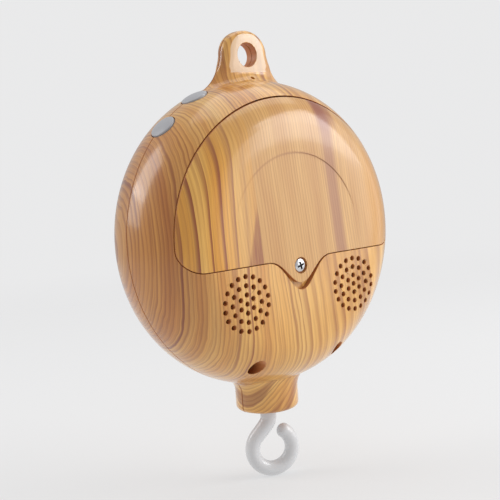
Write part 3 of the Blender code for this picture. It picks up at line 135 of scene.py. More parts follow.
# Screws and their wells
DOOR_SCREW_RISE = -0.0110
SCREW_HEAD_R = 0.0024
SCREW_HEAD_H = 0.0009
SCREW_SINK = 0.0010
SCREW_ROOM = 0.0005
SCREW_SHANK_R = 0.0013
SCREW_TIP = 0.0158
DOOR_BOSS_R = 0.0042
DOOR_BOSS_LOW = 0.0152
WASHER_R = 0.0029
WASHER_THICK = 0.0007
WASHER_ROOM = 0.0005
PILOT_ROOM = 0.0004
WELL_R = 0.0026
WELL_SEAT = 0.0060
WELLS = ((-0.0189, -0.0443), (0.0189, -0.0443), (-0.0365, 0.0100), (0.0365, 0.0100))
BOSS_WALL = 0.0013
BOSS_LOW = 0.0020
CASE_HEAD_R = 0.0022
CASE_HEAD_H = 0.0015
CASE_SCREW_LENGTH = 0.0120
CASE_PILOT = (-0.0075, 0.0040)
THREAD_PITCH = 0.0007

# A screw's other forms, as shares of its head's or shank's size, with the cross's turn in radians
HEAD_RIM = 0.35
THREAD_ROOT = 0.84
TIP_R = 0.7
TIP_CONE = 0.6
CROSS_LOW, CROSS_HIGH = 0.50, 1.30
CROSS_W = 0.24
CROSS_DEEP = 1.4
CROSS_MIDDLE = 0.88
CROSS_TURN = 0.28
CROSS_REACH = 0.9
CROSS_SHALLOW = 0.00005

# Grilles and buttons
SPEAKER_X = 0.0249
SPEAKER_RISE = -0.0209
SPEAKER_R = 0.0120
SPEAKER_RING_LOW = 0.0160
GRILLE_HOLE_R = 0.00086
GRILLE_HOLE_BACK = BACK_DEPTH - 0.0060
GRILLE_HOLE_DEEP = 0.0160
GRILLE_PITCH = 0.0031
GRILLE_RINGS = 3
BUTTON_ANGLES = {"power_button": 133.0, "volume_button": 115.2}
BUTTON_HALF_W = 0.0046
BUTTON_HALF_L = 0.0049
BUTTON_BACK = 0.0008
BUTTON_PROUD = 0.0008
BUTTON_DOME = 0.0006
BUTTON_CROWN = 2.6
BUTTON_ROUND = 0.06
BUTTON_FLANGE = 0.0008
BUTTON_FLANGE_H = 0.0010
BUTTON_FLANGE_AT = 0.0510
BUTTON_STEM_R = 0.0015
BUTTON_STEM_LOW = 0.0492
BUTTON_HOLE = (0.0450, 0.0600)

# Hook
SHANK_R = 0.00305
SHANK_TOP = -0.0560
SHANK_ROOM = 0.00045
SHANK_END_R = SHANK_R * 0.97
SHAFT_GRIP = 0.0040
SHAFT_R = 0.0015
HOOK_WIRE_R = 0.00275
HOOK_RING_R = 0.0077
HOOK_RING_X = 0.0007
HOOK_RING_RISE = -0.0809
HOOK_JOIN_ANGLE = 150.0
HOOK_TIP_ANGLE = 412.0
HOOK_TIP_FLAT = 0.9
HOOK_STRAIGHT_LOW = -0.0690
HOOK_STRAIGHT_EASE = 0.0030
HOOK_TURN = -22.0
HOOK_LOW = HOOK_RING_RISE - HOOK_RING_R - HOOK_WIRE_R

# Cutters: how far they pass the body, and the coarser domes that shape its inside
OVERCUT = 0.0010
THROUGH = 0.0200
PAST_BODY = BODY_R + 0.0300
HALF_SPACE = 0.0400
INNER_LOW = -0.0020
LIMIT_LOW = -0.0060
INNER_STEPS = (72, 10)

# The printed skin: its thickness, its broken rims, the crown of its shading and where the raw wall begins
SKIN = 0.0004
SKIN_MATCH = 0.006
SKIN_AGREE = 0.997
RIM_CUT = 0.00016
RIM_REACH = 0.0004
SEAM_CUT = 0.00009
SLIVER = 0.00003
CROWN_FROM = 0.0285
CROWN_TO = 0.0410
CROWN_TILT = math.radians(11.0)
CROWN_END = math.radians(50.0)
RAW_EYE_R = EYE_HOLE_R + 0.0001
RAW_NECK_R = BUSH_FLANGE_R + 0.0010
RAW_NECK_TOP = 0.0040 - BODY_R
SEAT_SINK = (DOOR_SINK - 0.0002, DOOR_SINK + 0.0004)

FULL_TURN = 2.0 * math.pi
QUARTER_TURN = math.pi / 2.0
BENCH = Matrix.Translation((0.0, 0.0, -EYE_RISE)) @ Matrix.Rotation(QUARTER_TURN, 4, "X")
UPRIGHT = Matrix.Rotation(-QUARTER_TURN, 4, "X")
PLAIN = Matrix.Identity(4)


# Making and joining shapes

def put(name, shape, fit=PLAIN):
    """A worked shape as an object, in the bench frame."""
    shape.transform(fit)
    mesh = bpy.data.meshes.new(name)
    shape.to_mesh(mesh)
    shape.free()
    thing = bpy.data.objects.new(name, mesh)
    bpy.context.scene.collection.objects.link(thing)
    return thing


def work(thing, how, *tools):
    """Cut, join or keep with the tools, which are used up."""
    for tool in tools:
        step = thing.modifiers.new(tool.name, "BOOLEAN")
        step.operation = how
        step.object = tool
        step.solver = "EXACT"
    seen = thing.evaluated_get(bpy.context.evaluated_depsgraph_get())
    made = bpy.data.meshes.new_from_object(seen)
    thing.modifiers.clear()
    thing.data = made
    for tool in tools:
        bpy.data.objects.remove(tool, do_unlink=True)
    return thing


def cut(thing, *tools):
    return work(thing, "DIFFERENCE", *tools)


def tidy_up(shape):
    bmesh.ops.remove_doubles(shape, verts=shape.verts, dist=0.000001)
    bmesh.ops.recalc_face_normals(shape, faces=shape.faces)
    return shape


def lathe(name, profile, fit=PLAIN, steps=64):
    """Spin a line of (radius, height), from axis to axis, about its own Z."""
    shape = bmesh.new()
    points = [shape.verts.new((radius, 0.0, height)) for radius, height in profile]
    edges = [shape.edges.new(pair) for pair in zip(points, points[1:])]
    bmesh.ops.spin(shape, geom=points + edges, cent=(0.0, 0.0, 0.0), axis=(0.0, 0.0, 1.0),
                   angle=FULL_TURN, steps=steps, use_merge=True)
    return put(name, tidy_up(shape), fit)


def rod(name, radius, low, high, fit=PLAIN, steps=48):
    shape = bmesh.new()
    middle = Matrix.Translation((0.0, 0.0, (low + high) / 2.0))
    bmesh.ops.create_cone(shape, cap_ends=True, segments=steps, radius1=radius, radius2=radius,
                          depth=high - low, matrix=middle)
    return put(name, shape, fit)


def block(name, low, high, fit=PLAIN):
    size = [b - a for a, b in zip(low, high)]
    middle = [(a + b) / 2.0 for a, b in zip(low, high)]
    place = Matrix.Translation(middle) @ Matrix.Diagonal((*size, 1.0))
    shape = bmesh.new()
    bmesh.ops.create_cube(shape, size=1.0, matrix=place)
    return put(name, shape, fit)


def plate(name, outline, low, high, fit=PLAIN):
    """A flat plate, its outline drawn anticlockwise."""
    shape = bmesh.new()
    face = shape.faces.new([shape.verts.new((x, y, low)) for x, y in outline])
    raised = bmesh.ops.extrude_face_region(shape, geom=[face])["geom"]
    bmesh.ops.translate(shape, verts=[v for v in raised if isinstance(v, bmesh.types.BMVert)],
                        vec=(0.0, 0.0, high - low))
    bmesh.ops.recalc_face_normals(shape, faces=shape.faces)
    return put(name, shape, fit)


def loft(name, loops, fit=PLAIN):
    """A skin over a row of closed loops, with flat ends."""
    shape = bmesh.new()
    rings = [[shape.verts.new(spot) for spot in loop] for loop in loops]
    rims = [[shape.edges.new((ring[i - 1], ring[i])) for i in range(len(ring))] for ring in rings]
    for lower, upper in zip(rims, rims[1:]):
        bmesh.ops.bridge_loops(shape, edges=lower + upper)
    shape.faces.new(rings[0])
    shape.faces.new(rings[-1])
    bmesh.ops.recalc_face_normals(shape, faces=shape.faces)
    return put(name, shape, fit)


def spot_at(x, rise, back=0.0):
    return Matrix.Translation((x, rise, back))


# Body forms

def dome_line(depth, rim, inset, low, steps):
    """Flat middle and quarter-ellipse edge of the body, moved inwards by inset."""
    points = [(reach, depth - inset) for reach in MIDDLE_RINGS]
    for i in range(steps + 1):
        angle = math.radians(90.0 * (1.0 - i / steps))
        across, out = math.cos(angle) / rim, math.sin(angle) / depth
        length = math.hypot(across, out)
        points.append((BODY_R - rim + rim * math.cos(angle) - inset * across / length,
                       depth * math.sin(angle) - inset * out / length))
    points.append((BODY_R - inset, low))
    points.append((0.0, low))
    return points


def dome(name, back, inset, low=-0.0010, around=144, steps=20):
    """The round half of the body, at the back or at the front."""
    depth, rim = (BACK_DEPTH, BACK_RIM) if back else (FRONT_DEPTH, FRONT_RIM)
    turn = PLAIN if back else Matrix.Rotation(math.pi, 4, "X")
    return lathe(name, dome_line(depth, rim, inset, low, steps), turn, around)


def fillet_width(height, half_w, radius):
    """Half width of a post that stands on the round body with a fillet."""
    middle_x = half_w + radius
    middle_rise = math.sqrt((BODY_R + radius) ** 2 - middle_x ** 2)
    touch_rise = middle_rise * BODY_R / (BODY_R + radius)
    if height >= middle_rise:
        return half_w
    if height >= touch_rise:
        return middle_x - math.sqrt(radius ** 2 - (middle_rise - height) ** 2)
    return middle_x * BODY_R / (BODY_R + radius) - 0.5 * (touch_rise - height)


def level_loop(height, wide, deep, square, sides=72):
    """A level ring of points: an ellipse at a square of 2, and boxier above that."""
    loop = []
    for i in range(sides):
        angle = FULL_TURN * i / sides
        across, out = math.cos(angle), math.sin(angle)
        loop.append((wide * math.copysign(abs(across) ** (2.0 / square), across), height,
                     -deep * math.copysign(abs(out) ** (2.0 / square), out)))
    return loop


def hanging_lug(name):
    """The tongue with the eye, filleted into the rim of the body."""
    loops = []
    count = 30
    for i in range(count + 1):
        height = EYE_RISE - LUG_ROOT * (1.0 - i / count)
        sink = (EYE_RISE - LUG_PAD_DROP - height) / LUG_BLEND_H
        blend = 1.0 - math.sqrt(1.0 - min(max(sink, 0.0), LUG_BLEND_MOST) ** 2)
        boxy = min(1.0, max(0.0, 1.0 - sink) / BLEND_SPAN) ** 2
        loops.append(level_loop(height, fillet_width(height, LUG_HALF_W, LUG_FILLET_R),
                                LUG_HALF_D + LUG_BLEND_D * blend,
                                BLEND_SQUARE + (PAD_SQUARE - BLEND_SQUARE) * boxy))
    top_w = fillet_width(EYE_RISE, LUG_HALF_W, LUG_FILLET_R)
    for i in range(1, 19):
        angle = math.radians(LUG_TOP_TURN * i / 18.0)
        rise = math.sin(angle)
        deep = LUG_HALF_D * (1.0 - rise ** LUG_TOP_SQUARE) ** (1.0 / LUG_TOP_SQUARE)
        loops.append(level_loop(EYE_RISE + LUG_TOP * rise, top_w * math.cos(angle), deep, PAD_SQUARE))
    lug = loft(name, loops)
    low, high = EYE_RISE - PAD_LOW_DROP, EYE_RISE + THROUGH
    return cut(lug, block("back_pad", (-THROUGH, low, PAD_HALF_D), (THROUGH, high, THROUGH)),
               block("front_pad", (-THROUGH, low, -THROUGH), (THROUGH, high, -PAD_HALF_D)))


def neck_form(name):
    """The round neck, filleted into the lower edge of the body."""
    loops = []
    for i in range(7):
        angle = math.radians(90.0 * i / 6.0)
        wide = NECK_R - NECK_EDGE * (1.0 - math.sin(angle))
        loops.append(level_loop(NECK_LOW + NECK_EDGE * (1.0 - math.cos(angle)), wide, wide, 2.0))
    low = BODY_R + NECK_FILLET_R / 2.0
    for i in range(19):
        height = low - (low + NECK_LOW + NECK_ROOT) * i / 18.0
        wide = fillet_width(height, NECK_R, NECK_FILLET_R)
        deep = NECK_R + NECK_BLEND_D * min(1.0, max(0.0, (wide - NECK_R) / NECK_FILLET_R))
        loops.append(level_loop(-height, wide, deep, 2.0))
    return loft(name, loops)


def door_outline(offset, fine=4, drop=TAB_DROP, squash=DOOR_SQUASH):
    """The cover's edge, moved outwards: round top, square lower corners, screw tab."""
    base = []
    arc_steps, corner_steps, tab_steps = 24 * fine, 4 * fine, 10 * fine
    corner_rise = DOOR_LOW + DOOR_CORNER_R
    corner_x = math.sqrt((DOOR_R - DOOR_CORNER_R) ** 2 - corner_rise ** 2)
    arc_start = math.atan2(corner_rise, corner_x)
    for i in range(arc_steps + 1):
        angle = arc_start + (math.pi - 2.0 * arc_start) * i / arc_steps
        rise = math.sin(angle)
        base.append((DOOR_R * math.cos(angle), DOOR_R * rise - squash * max(0.0, rise) ** 2))
    for i in range(1, corner_steps + 1):
        angle = math.pi - arc_start + (QUARTER_TURN + arc_start) * i / corner_steps
        base.append((-corner_x + DOOR_CORNER_R * math.cos(angle),
                     corner_rise + DOOR_CORNER_R * math.sin(angle)))
    for i in range(tab_steps + 1):
        x = -TAB_HALF_W + 2.0 * TAB_HALF_W * i / tab_steps
        base.append((x, DOOR_LOW - drop * math.cos(math.pi * x / (2.0 * TAB_HALF_W)) ** 3))
    for i in range(corner_steps):
        angle = 1.5 * math.pi + (QUARTER_TURN + arc_start) * i / corner_steps
        base.append((corner_x + DOOR_CORNER_R * math.cos(angle),
                     corner_rise + DOOR_CORNER_R * math.sin(angle)))
    moved = []
    for i, (x, y) in enumerate(base):
        before, after = base[i - 1], base[(i + 1) % len(base)]
        run, rise = after[0] - before[0], after[1] - before[1]
        length = math.hypot(run, rise)
        moved.append((x + offset * rise / length, y - offset * run / length))
    return moved


def bay_outline(offset):
    """The edge of the cell bay, moved outwards."""
    points = []
    radius = TRAY_CORNER_R + offset
    left, right = -TRAY_HALF_W - offset, TRAY_HALF_W + offset
    low, high = TRAY_LOW - offset, TRAY_HIGH + offset
    for x, y, start in ((right - radius, high - radius, 0), (left + radius, high - radius, 90),
                        (left + radius, low + radius, 180), (right - radius, low + radius, 270)):
        for i in range(9):
            angle = math.radians(start + 90.0 * i / 8)
            points.append((x + radius * math.cos(angle), y + radius * math.sin(angle)))
    return points


def button_fit(name):
    """A frame whose Z runs outwards through a button."""
    angle = math.radians(BUTTON_ANGLES[name])
    outward = Vector((math.cos(angle), math.sin(angle), 0.0))
    back = Vector((0.0, 0.0, 1.0))
    turn = Matrix((back.cross(outward), back, outward)).transposed().to_4x4()
    return Matrix.Translation((0.0, 0.0, BUTTON_BACK)) @ turn


def shared_cutters():
    """The eye, the neck bore and the button holes."""
    low = NECK_LOW + NECK_LIP + GAP
    made = [rod("eye_cutter", EYE_HOLE_R, -THROUGH, THROUGH, spot_at(0.0, EYE_RISE), 64),
            rod("lip_cutter", SHANK_R + SHANK_ROOM, NECK_LOW - 2.0 * OVERCUT, low, UPRIGHT),
            rod("bore_cutter", BUSH_R + GAP, low - GAP, BUSH_ROOM_TOP, UPRIGHT),
            rod("shoulder_cutter", BUSH_FLANGE_R + GAP, BUSH_SHOULDER, BUSH_ROOM_TOP, UPRIGHT)]
    for name in BUTTON_ANGLES:
        half_w, half_l = BUTTON_HALF_W + GAP, BUTTON_HALF_L + GAP
        outline = [(half_w * math.cos(FULL_TURN * i / 64), half_l * math.sin(FULL_TURN * i / 64))
                   for i in range(64)]
        made.append(plate(name + "_hole", outline, *BUTTON_HOLE, button_fit(name)))
    return made


def grille_cutter(side):
    """All the round holes of one grille."""
    spots = [(0.0, 0.0)]
    for number in range(1, GRILLE_RINGS + 1):
        for i in range(6 * number):
            angle = math.radians(90.0 + 60.0 * i / number)
            reach = GRILLE_PITCH * number
            spots.append((reach * math.cos(angle), reach * math.sin(angle)))
    shape = bmesh.new()
    for x, y in spots:
        bmesh.ops.create_cone(shape, cap_ends=True, segments=20, radius1=GRILLE_HOLE_R,
                              radius2=GRILLE_HOLE_R, depth=GRILLE_HOLE_DEEP,
                              matrix=spot_at(side * SPEAKER_X + x, SPEAKER_RISE + y, GRILLE_HOLE_BACK))
    return put(f"grille_{side}", shape)


def tongue_box(name, side, spread, rises, backs):
    """A block as wide as a tongue of the cover, between two heights and two depths."""
    middle, half = side * TONGUE_X, TONGUE_W / 2.0 + spread
    return block(name, (middle - half, rises[0], backs[0]), (middle + half, rises[1], backs[1]))


def tongue_slots(side):
    """Room in the rear half for a tongue, at rest and while the cover swings."""
    low = HINGE_BACK - TONGUE_DROP
    return (tongue_box(f"tongue_swing_{side}", side, GAP,
                       (HINGE_RISE - TONGUE_SWING, ROOT_HIGH + TONGUE_OVER),
                       (low - TONGUE_UNDER, BACK_DEPTH)),
            tongue_box(f"tongue_reach_{side}", side, GAP,
                       (ROOT_HIGH, HINGE_RISE + TONGUE_REACH + TONGUE_PAST),
                       (low - TONGUE_DEEP, low + TONGUE_THICK + GAP)))


def back_shell():
    """Rear half: two grilles, four screw wells, and the seat and bay under the cover."""
    shell = dome("back_shell_fine", True, 0.0)
    work(shell, "UNION", hanging_lug("back_lug"), neck_form("back_neck"))
    cut(shell, block("front_space", (-PAST_BODY, -PAST_BODY, -HALF_SPACE),
                     (PAST_BODY, PAST_BODY, SHELL_SEAM / 2.0)))
    thin = dome("back_cavity", True, WALL, INNER_LOW, *INNER_STEPS)
    cut(thin, plate("door_zone", door_outline(DOOR_FLOOR + GAP, 2), -5.0 * OVERCUT, BACK_DEPTH))
    cut(shell, thin, dome("back_deep", True, DOOR_SINK + DOOR_FLOOR, INNER_LOW, *INNER_STEPS))
    speakers = [(side, spot_at(side * SPEAKER_X, SPEAKER_RISE)) for side in (-1, 1)]
    screw = spot_at(0.0, DOOR_SCREW_RISE)
    works = plate("bay_wall", bay_outline(TRAY_WALL), TRAY_RIM + GAP, BACK_DEPTH)
    posts = [rod(f"well_boss_{x}_{rise}", WELL_R + BOSS_WALL, BOSS_LOW, BACK_DEPTH, spot_at(x, rise))
             for x, rise in WELLS]
    posts += [rod(f"speaker_ring_{side}", SPEAKER_R + BOSS_WALL, SPEAKER_RING_LOW, BACK_DEPTH, place)
              for side, place in speakers]
    posts.append(rod("door_boss", DOOR_BOSS_R, DOOR_BOSS_LOW, BACK_DEPTH, screw))
    work(works, "UNION", *posts)
    cut(works, *[rod(f"speaker_room_{side}", SPEAKER_R + GAP, 0.0, BACK_DEPTH - WALL, place)
                 for side, place in speakers])
    work(works, "INTERSECT", dome("works_limit", True, WALL / 2.0, INNER_LOW, *INNER_STEPS))
    work(shell, "UNION", works)
    edge = door_outline(GAP, 4, TAB_DROP + TAB_ROOM, DOOR_SQUASH - SWING_ROOM)
    recess = plate("door_recess", edge, BOSS_LOW, BACK_DEPTH + 5.0 * OVERCUT)
    cut(recess, dome("door_seat", True, DOOR_SINK, INNER_LOW))
    seat = BACK_DEPTH - DOOR_SINK
    pocket = seat - WASHER_THICK - WASHER_ROOM
    cut(shell, recess,
        plate("bay_opening", bay_outline(0.0), TRAY_RIM - 2.0 * OVERCUT, BACK_DEPTH + 4.0 * OVERCUT),
        rod("washer_pocket", WASHER_R + WASHER_ROOM, pocket, seat + OVERCUT, screw),
        rod("screw_pilot", SCREW_SHANK_R + PILOT_ROOM, DOOR_BOSS_LOW - OVERCUT, seat + OVERCUT, screw))
    for x, rise in WELLS:
        place = spot_at(x, rise)
        cut(shell, rod("well", WELL_R, WELL_SEAT, BACK_DEPTH + 2.0 * OVERCUT, place),
            rod("well_bore", SCREW_SHANK_R + GAP, BOSS_LOW - OVERCUT, WELL_SEAT + OVERCUT, place))
    for side in (-1, 1):
        cut(shell, *tongue_slots(side), grille_cutter(side))
    lean = spot_at(0.0, PINHOLE_RISE, PINHOLE_BACK) @ Matrix.Rotation(PINHOLE_LEAN, 4, "X")
    pinhole = rod("pinhole", PINHOLE_R, -PINHOLE_DEEP, 6.0 * OVERCUT, lean, 24)
    return cut(shell, pinhole, *shared_cutters())


def front_shell():
    """Front half: a plain dome with its lug and neck halves."""
    shell = dome("front_shell_fine", False, 0.0)
    work(shell, "UNION", hanging_lug("front_lug"), neck_form("front_neck"))
    cut(shell, block("back_space", (-PAST_BODY, -PAST_BODY, -SHELL_SEAM / 2.0),
                     (PAST_BODY, PAST_BODY, HALF_SPACE)))
    cut(shell, dome("front_cavity", False, WALL, INNER_LOW, *INNER_STEPS))
    high = BOSS_LOW - GAP
    posts = [rod(f"case_post_{x}_{rise}", WELL_R + BOSS_WALL, -FRONT_DEPTH, high, spot_at(x, rise))
             for x, rise in WELLS]
    works = posts.pop()
    work(works, "UNION", *posts)
    work(works, "INTERSECT", dome("front_limit", False, WALL / 2.0, LIMIT_LOW, *INNER_STEPS))
    work(shell, "UNION", works)
    pilots = [rod(f"case_pilot_{x}_{rise}", SCREW_SHANK_R + GAP, *CASE_PILOT, spot_at(x, rise))
              for x, rise in WELLS]
    cut(shell, *pilots)
    return cut(shell, *shared_cutters())


def battery_cover():
    """The cover: a slice of the dome with a shallow arch, a sunk screw hole and two tongues."""
    cover = plate("battery_cover_fine", door_outline(0.0), BOSS_LOW, BACK_DEPTH + 5.0 * OVERCUT)
    work(cover, "INTERSECT", dome("cover_outside", True, 0.0))
    cut(cover, dome("cover_inside", True, DOOR_THICK, INNER_LOW))
    low = HINGE_BACK - TONGUE_DROP
    for side in (-1, 1):
        work(cover, "UNION",
             tongue_box(f"root_{side}", side, 0.0, (ROOT_LOW, ROOT_HIGH), (low, ROOT_BACK)),
             tongue_box(f"tip_{side}", side, 0.0, (ROOT_LOW + ROOT_STEP, HINGE_RISE + TONGUE_REACH),
                        (low, low + TONGUE_THICK)))
    tilt = math.atan2(ARCH_DEPTH, ARCH_R - ARCH_FADE)
    lean = spot_at(0.0, 0.0, BACK_DEPTH + ARCH_FADE * math.tan(tilt)) @ Matrix.Rotation(-tilt, 4, "X")
    screw = spot_at(0.0, DOOR_SCREW_RISE)
    return cut(cover, rod("arch", ARCH_R, 0.0, 4.0 * OVERCUT, lean, 160),
               rod("sink", SCREW_HEAD_R + SCREW_ROOM, BACK_DEPTH - SCREW_SINK, BACK_DEPTH + OVERCUT, screw),
               rod("hole", SCREW_SHANK_R + GAP, BACK_DEPTH - 3.0 * OVERCUT, BACK_DEPTH, screw))


def button(name):
    """An oval button with a soft domed top, a flange and a stem."""
    top = BODY_R + BUTTON_PROUD
    line = [(0.0, top)]
    for i in range(1, 13):
        share = i / 12.0
        line.append((BUTTON_HALF_L * share * (1.0 - BUTTON_ROUND), top - BUTTON_DOME * share ** BUTTON_CROWN))
    for i in range(1, 7):
        angle = QUARTER_TURN * i / 6.0
        line.append((BUTTON_HALF_L * (1.0 - BUTTON_ROUND + BUTTON_ROUND * math.sin(angle)),
                     top - BUTTON_DOME - BUTTON_HALF_L * BUTTON_ROUND * (1.0 - math.cos(angle))))
    flange, under = BUTTON_HALF_L + BUTTON_FLANGE, BUTTON_FLANGE_AT - BUTTON_FLANGE_H
    line += [(BUTTON_HALF_L, BUTTON_FLANGE_AT), (flange, BUTTON_FLANGE_AT), (flange, under),
             (BUTTON_STEM_R, under), (BUTTON_STEM_R, BUTTON_STEM_LOW), (0.0, BUTTON_STEM_LOW)]
    squeeze = Matrix.Diagonal((BUTTON_HALF_W / BUTTON_HALF_L, 1.0, 1.0, 1.0))
    return lathe(name + "_fine", line, button_fit(name) @ squeeze, 64)


def cross_screw(name, fit, head_r, head_h, shank_r, length):
    """A threaded cross-head screw with a crowned head, its head standing on the origin."""
    line = [(0.0, head_h)]
    for i in range(1, 9):
        angle = QUARTER_TURN * i / 8.0
        line.append((head_r * math.sin(angle), head_h * (HEAD_RIM + (1.0 - HEAD_RIM) * math.cos(angle))))
    line += [(head_r, 0.0), (shank_r, 0.0)]
    for i in range(int((length - shank_r) / THREAD_PITCH)):
        line += [(shank_r * THREAD_ROOT, -THREAD_PITCH * (i + 0.25)), (shank_r, -THREAD_PITCH * (i + 0.75))]
    line += [(shank_r * TIP_R, -length + shank_r * TIP_CONE), (0.0, -length)]
    screw = lathe(name, line, fit, 40)
    slots = []
    for turn in (CROSS_TURN, CROSS_TURN + QUARTER_TURN):
        shape = bmesh.new()
        bmesh.ops.create_cone(shape, cap_ends=True, segments=4, radius1=head_r * CROSS_LOW,
                              radius2=head_r * CROSS_HIGH, depth=head_h * CROSS_DEEP,
                              matrix=Matrix.Rotation(math.pi / 4.0, 4, "Z"))
        bmesh.ops.scale(shape, verts=shape.verts, vec=(1.0, CROSS_W, 1.0))
        bmesh.ops.translate(shape, verts=shape.verts, vec=(0.0, 0.0, head_h * CROSS_MIDDLE))
        slots.append(put("cross_slot", shape, fit @ Matrix.Rotation(turn, 4, "Z")))
    cut(screw, *slots)
    inwards = fit.inverted()
    for face in screw.data.polygons:
        spot = inwards @ face.center
        out = math.hypot(spot.x, spot.y)
        dome_share = math.sqrt(max(0.0, 1.0 - (out / head_r) ** 2))
        crown = head_h * (HEAD_RIM + (1.0 - HEAD_RIM) * dome_share)
        in_cross = 0.0 < spot.z < crown - CROSS_SHALLOW and out < head_r * CROSS_REACH
        # Faces inside the cross get the dark steel as painted shade
        face.material_index = 1 if in_cross else 0
    return screw


def hook_line():
    """The rod's middle line, as (across, up, radius): shank, easing bend, open ring and domed tip."""
    join = math.radians(HOOK_JOIN_ANGLE)
    first = (0.0, HOOK_STRAIGHT_LOW)
    end = (HOOK_RING_X + HOOK_RING_R * math.cos(join), HOOK_RING_RISE + HOOK_RING_R * math.sin(join))
    pull = HOOK_RING_R
    spots = [(0.0, SHANK_TOP, SHANK_R), (0.0, HOOK_STRAIGHT_LOW + HOOK_STRAIGHT_EASE, SHANK_R),
             (*first, SHANK_END_R)]
    for i in range(1, 12):
        t = i / 12.0
        a, b = 2 * t ** 3 - 3 * t ** 2 + 1, t ** 3 - 2 * t ** 2 + t
        c, d = 3 * t ** 2 - 2 * t ** 3, t ** 3 - t ** 2
        x = a * first[0] + c * end[0] - d * pull * math.sin(join)
        rise = a * first[1] - b * pull + c * end[1] + d * pull * math.cos(join)
        spots.append((x, rise, SHANK_END_R + (HOOK_WIRE_R - SHANK_END_R) * t))
    for i in range(57):
        angle = math.radians(HOOK_JOIN_ANGLE + (HOOK_TIP_ANGLE - HOOK_JOIN_ANGLE) * i / 56.0)
        spots.append((HOOK_RING_X + HOOK_RING_R * math.cos(angle),
                      HOOK_RING_RISE + HOOK_RING_R * math.sin(angle), HOOK_WIRE_R))
    tip = math.radians(HOOK_TIP_ANGLE + 90.0)
    last = spots[-1]
    for i in range(1, 9):
        angle = math.radians(10.5 * i)
        reach = HOOK_WIRE_R * HOOK_TIP_FLAT * math.sin(angle)
        spots.append((last[0] + reach * math.cos(tip), last[1] + reach * math.sin(tip),
                      HOOK_WIRE_R * math.cos(angle)))
    return spots


def hook():
    """A round plastic rod that follows the hook's line, with a socket for the shaft."""
    spots = hook_line()
    deep = Vector((0.0, 1.0, 0.0))
    loops = []
    for i, (x, rise, radius) in enumerate(spots):
        before, after = spots[max(i - 1, 0)], spots[min(i + 1, len(spots) - 1)]
        run, climb = after[0] - before[0], after[1] - before[1]
        length = math.hypot(run, climb)
        side = Vector((-climb / length, 0.0, run / length))
        turns = [FULL_TURN * k / 32 for k in range(32)]
        loops.append([Vector((x, 0.0, rise)) + radius * (math.cos(turn) * side + math.sin(turn) * deep)
                      for turn in turns])
    made = loft("hook_fine", loops, UPRIGHT @ Matrix.Rotation(math.radians(HOOK_TURN), 4, "Z"))
    return cut(made, rod("shaft_socket", SHAFT_R + GAP, SHANK_TOP - SHAFT_GRIP, SHANK_TOP + OVERCUT, UPRIGHT))


# Materials

class Recipe:
    """A node material that is written as sums."""

    def __init__(self, name):
        self.made = bpy.data.materials.new(name)
        self.made.use_nodes = True
        self.tree = self.made.node_tree
        self.shader = self.tree.nodes["Principled BSDF"]

    def add(self, kind, **settings):
        node = self.tree.nodes.new("ShaderNode" + kind)
        for key, value in settings.items():
            setattr(node, key, value)
        return node

    def feed(self, socket, value):
        if isinstance(value, bpy.types.NodeSocket):
            self.tree.links.new(value, socket)
        else:
            socket.default_value = value

    def sum(self, how, *values):
        node = self.add("Math", operation=how)
        for socket, value in zip(node.inputs, values):
            self.feed(socket, value)
        return node.outputs[0]

    def times(self, *values):
        return self.sum("MULTIPLY", *values)

    def plus(self, *values):
        return self.sum("ADD", *values)

    def place(self, scale, shift=(0.0, 0.0, 0.0)):
        """The piece's own coordinates, moved and scaled."""
        node = self.add("Mapping")
        self.feed(node.inputs["Vector"], self.add("TexCoord").outputs["Object"])
        node.inputs["Scale"].default_value = scale
        node.inputs["Location"].default_value = shift
        return node.outputs[0]

    def parts(self, vector):
        node = self.add("SeparateXYZ")
        self.feed(node.inputs[0], vector)
        return node.outputs

    def vector(self, x, y, z):
        node = self.add("CombineXYZ")
        for socket, value in zip(node.inputs, (x, y, z)):
            self.feed(socket, value)
        return node.outputs[0]

    def noise(self, vector, detail=1.0):
        node = self.add("TexNoise")
        self.feed(node.inputs["Vector"], vector)
        node.inputs["Scale"].default_value = 1.0
        node.inputs["Detail"].default_value = detail
        return node.outputs["Fac"]

    def grain(self, count, step, seed, along, detail=1.0):
        """Noise that changes by step with each growth line, and slowly along it."""
        return self.noise(self.vector(self.times(count, step), seed, along), detail)

    def band(self, value, low, high, first=0.0, last=1.0):
        node = self.add("MapRange", interpolation_type="SMOOTHSTEP")
        for name, number in (("From Min", low), ("From Max", high), ("To Min", first), ("To Max", last)):
            node.inputs[name].default_value = number
        self.feed(node.inputs["Value"], value)
        return node.outputs[0]

    def ridge(self, value, rise, end):
        """A line at each whole number, which darkens slowly over rise and ends sharply."""
        part = self.sum("FRACT", value)
        return self.times(self.band(part, *rise), self.band(part, *end))

    def ramp(self, value, *stops):
        node = self.add("ValToRGB")
        line = node.color_ramp
        while len(line.elements) < len(stops):
            line.elements.new(0.5)
        for element, (spot, colour) in zip(line.elements, stops):
            element.position = spot
            element.color = (*colour, 1.0)
        self.feed(node.inputs[0], value)
        return node.outputs[0]

    def mix(self, share, first, second, how="MIX"):
        node = self.add("Mix", data_type="RGBA", blend_type=how)
        self.feed(node.inputs[0], share)
        for socket, value in ((node.inputs[6], first), (node.inputs[7], second)):
            self.feed(socket, (*value, 1.0) if isinstance(value, tuple) else value)
        return node.outputs[2]

    def finish(self, colour, roughness, bump, depth, **settings):
        self.feed(self.shader.inputs["Base Color"], colour)
        self.feed(self.shader.inputs["Roughness"], roughness)
        node = self.add("Bump")
        node.inputs["Strength"].default_value = 1.0
        node.inputs["Distance"].default_value = depth
        self.feed(node.inputs["Height"], bump)
        self.feed(self.shader.inputs["Normal"], node.outputs[0])
        for key, value in settings.items():
            self.shader.inputs[key.replace("_", " ")].default_value = value
        return self.made


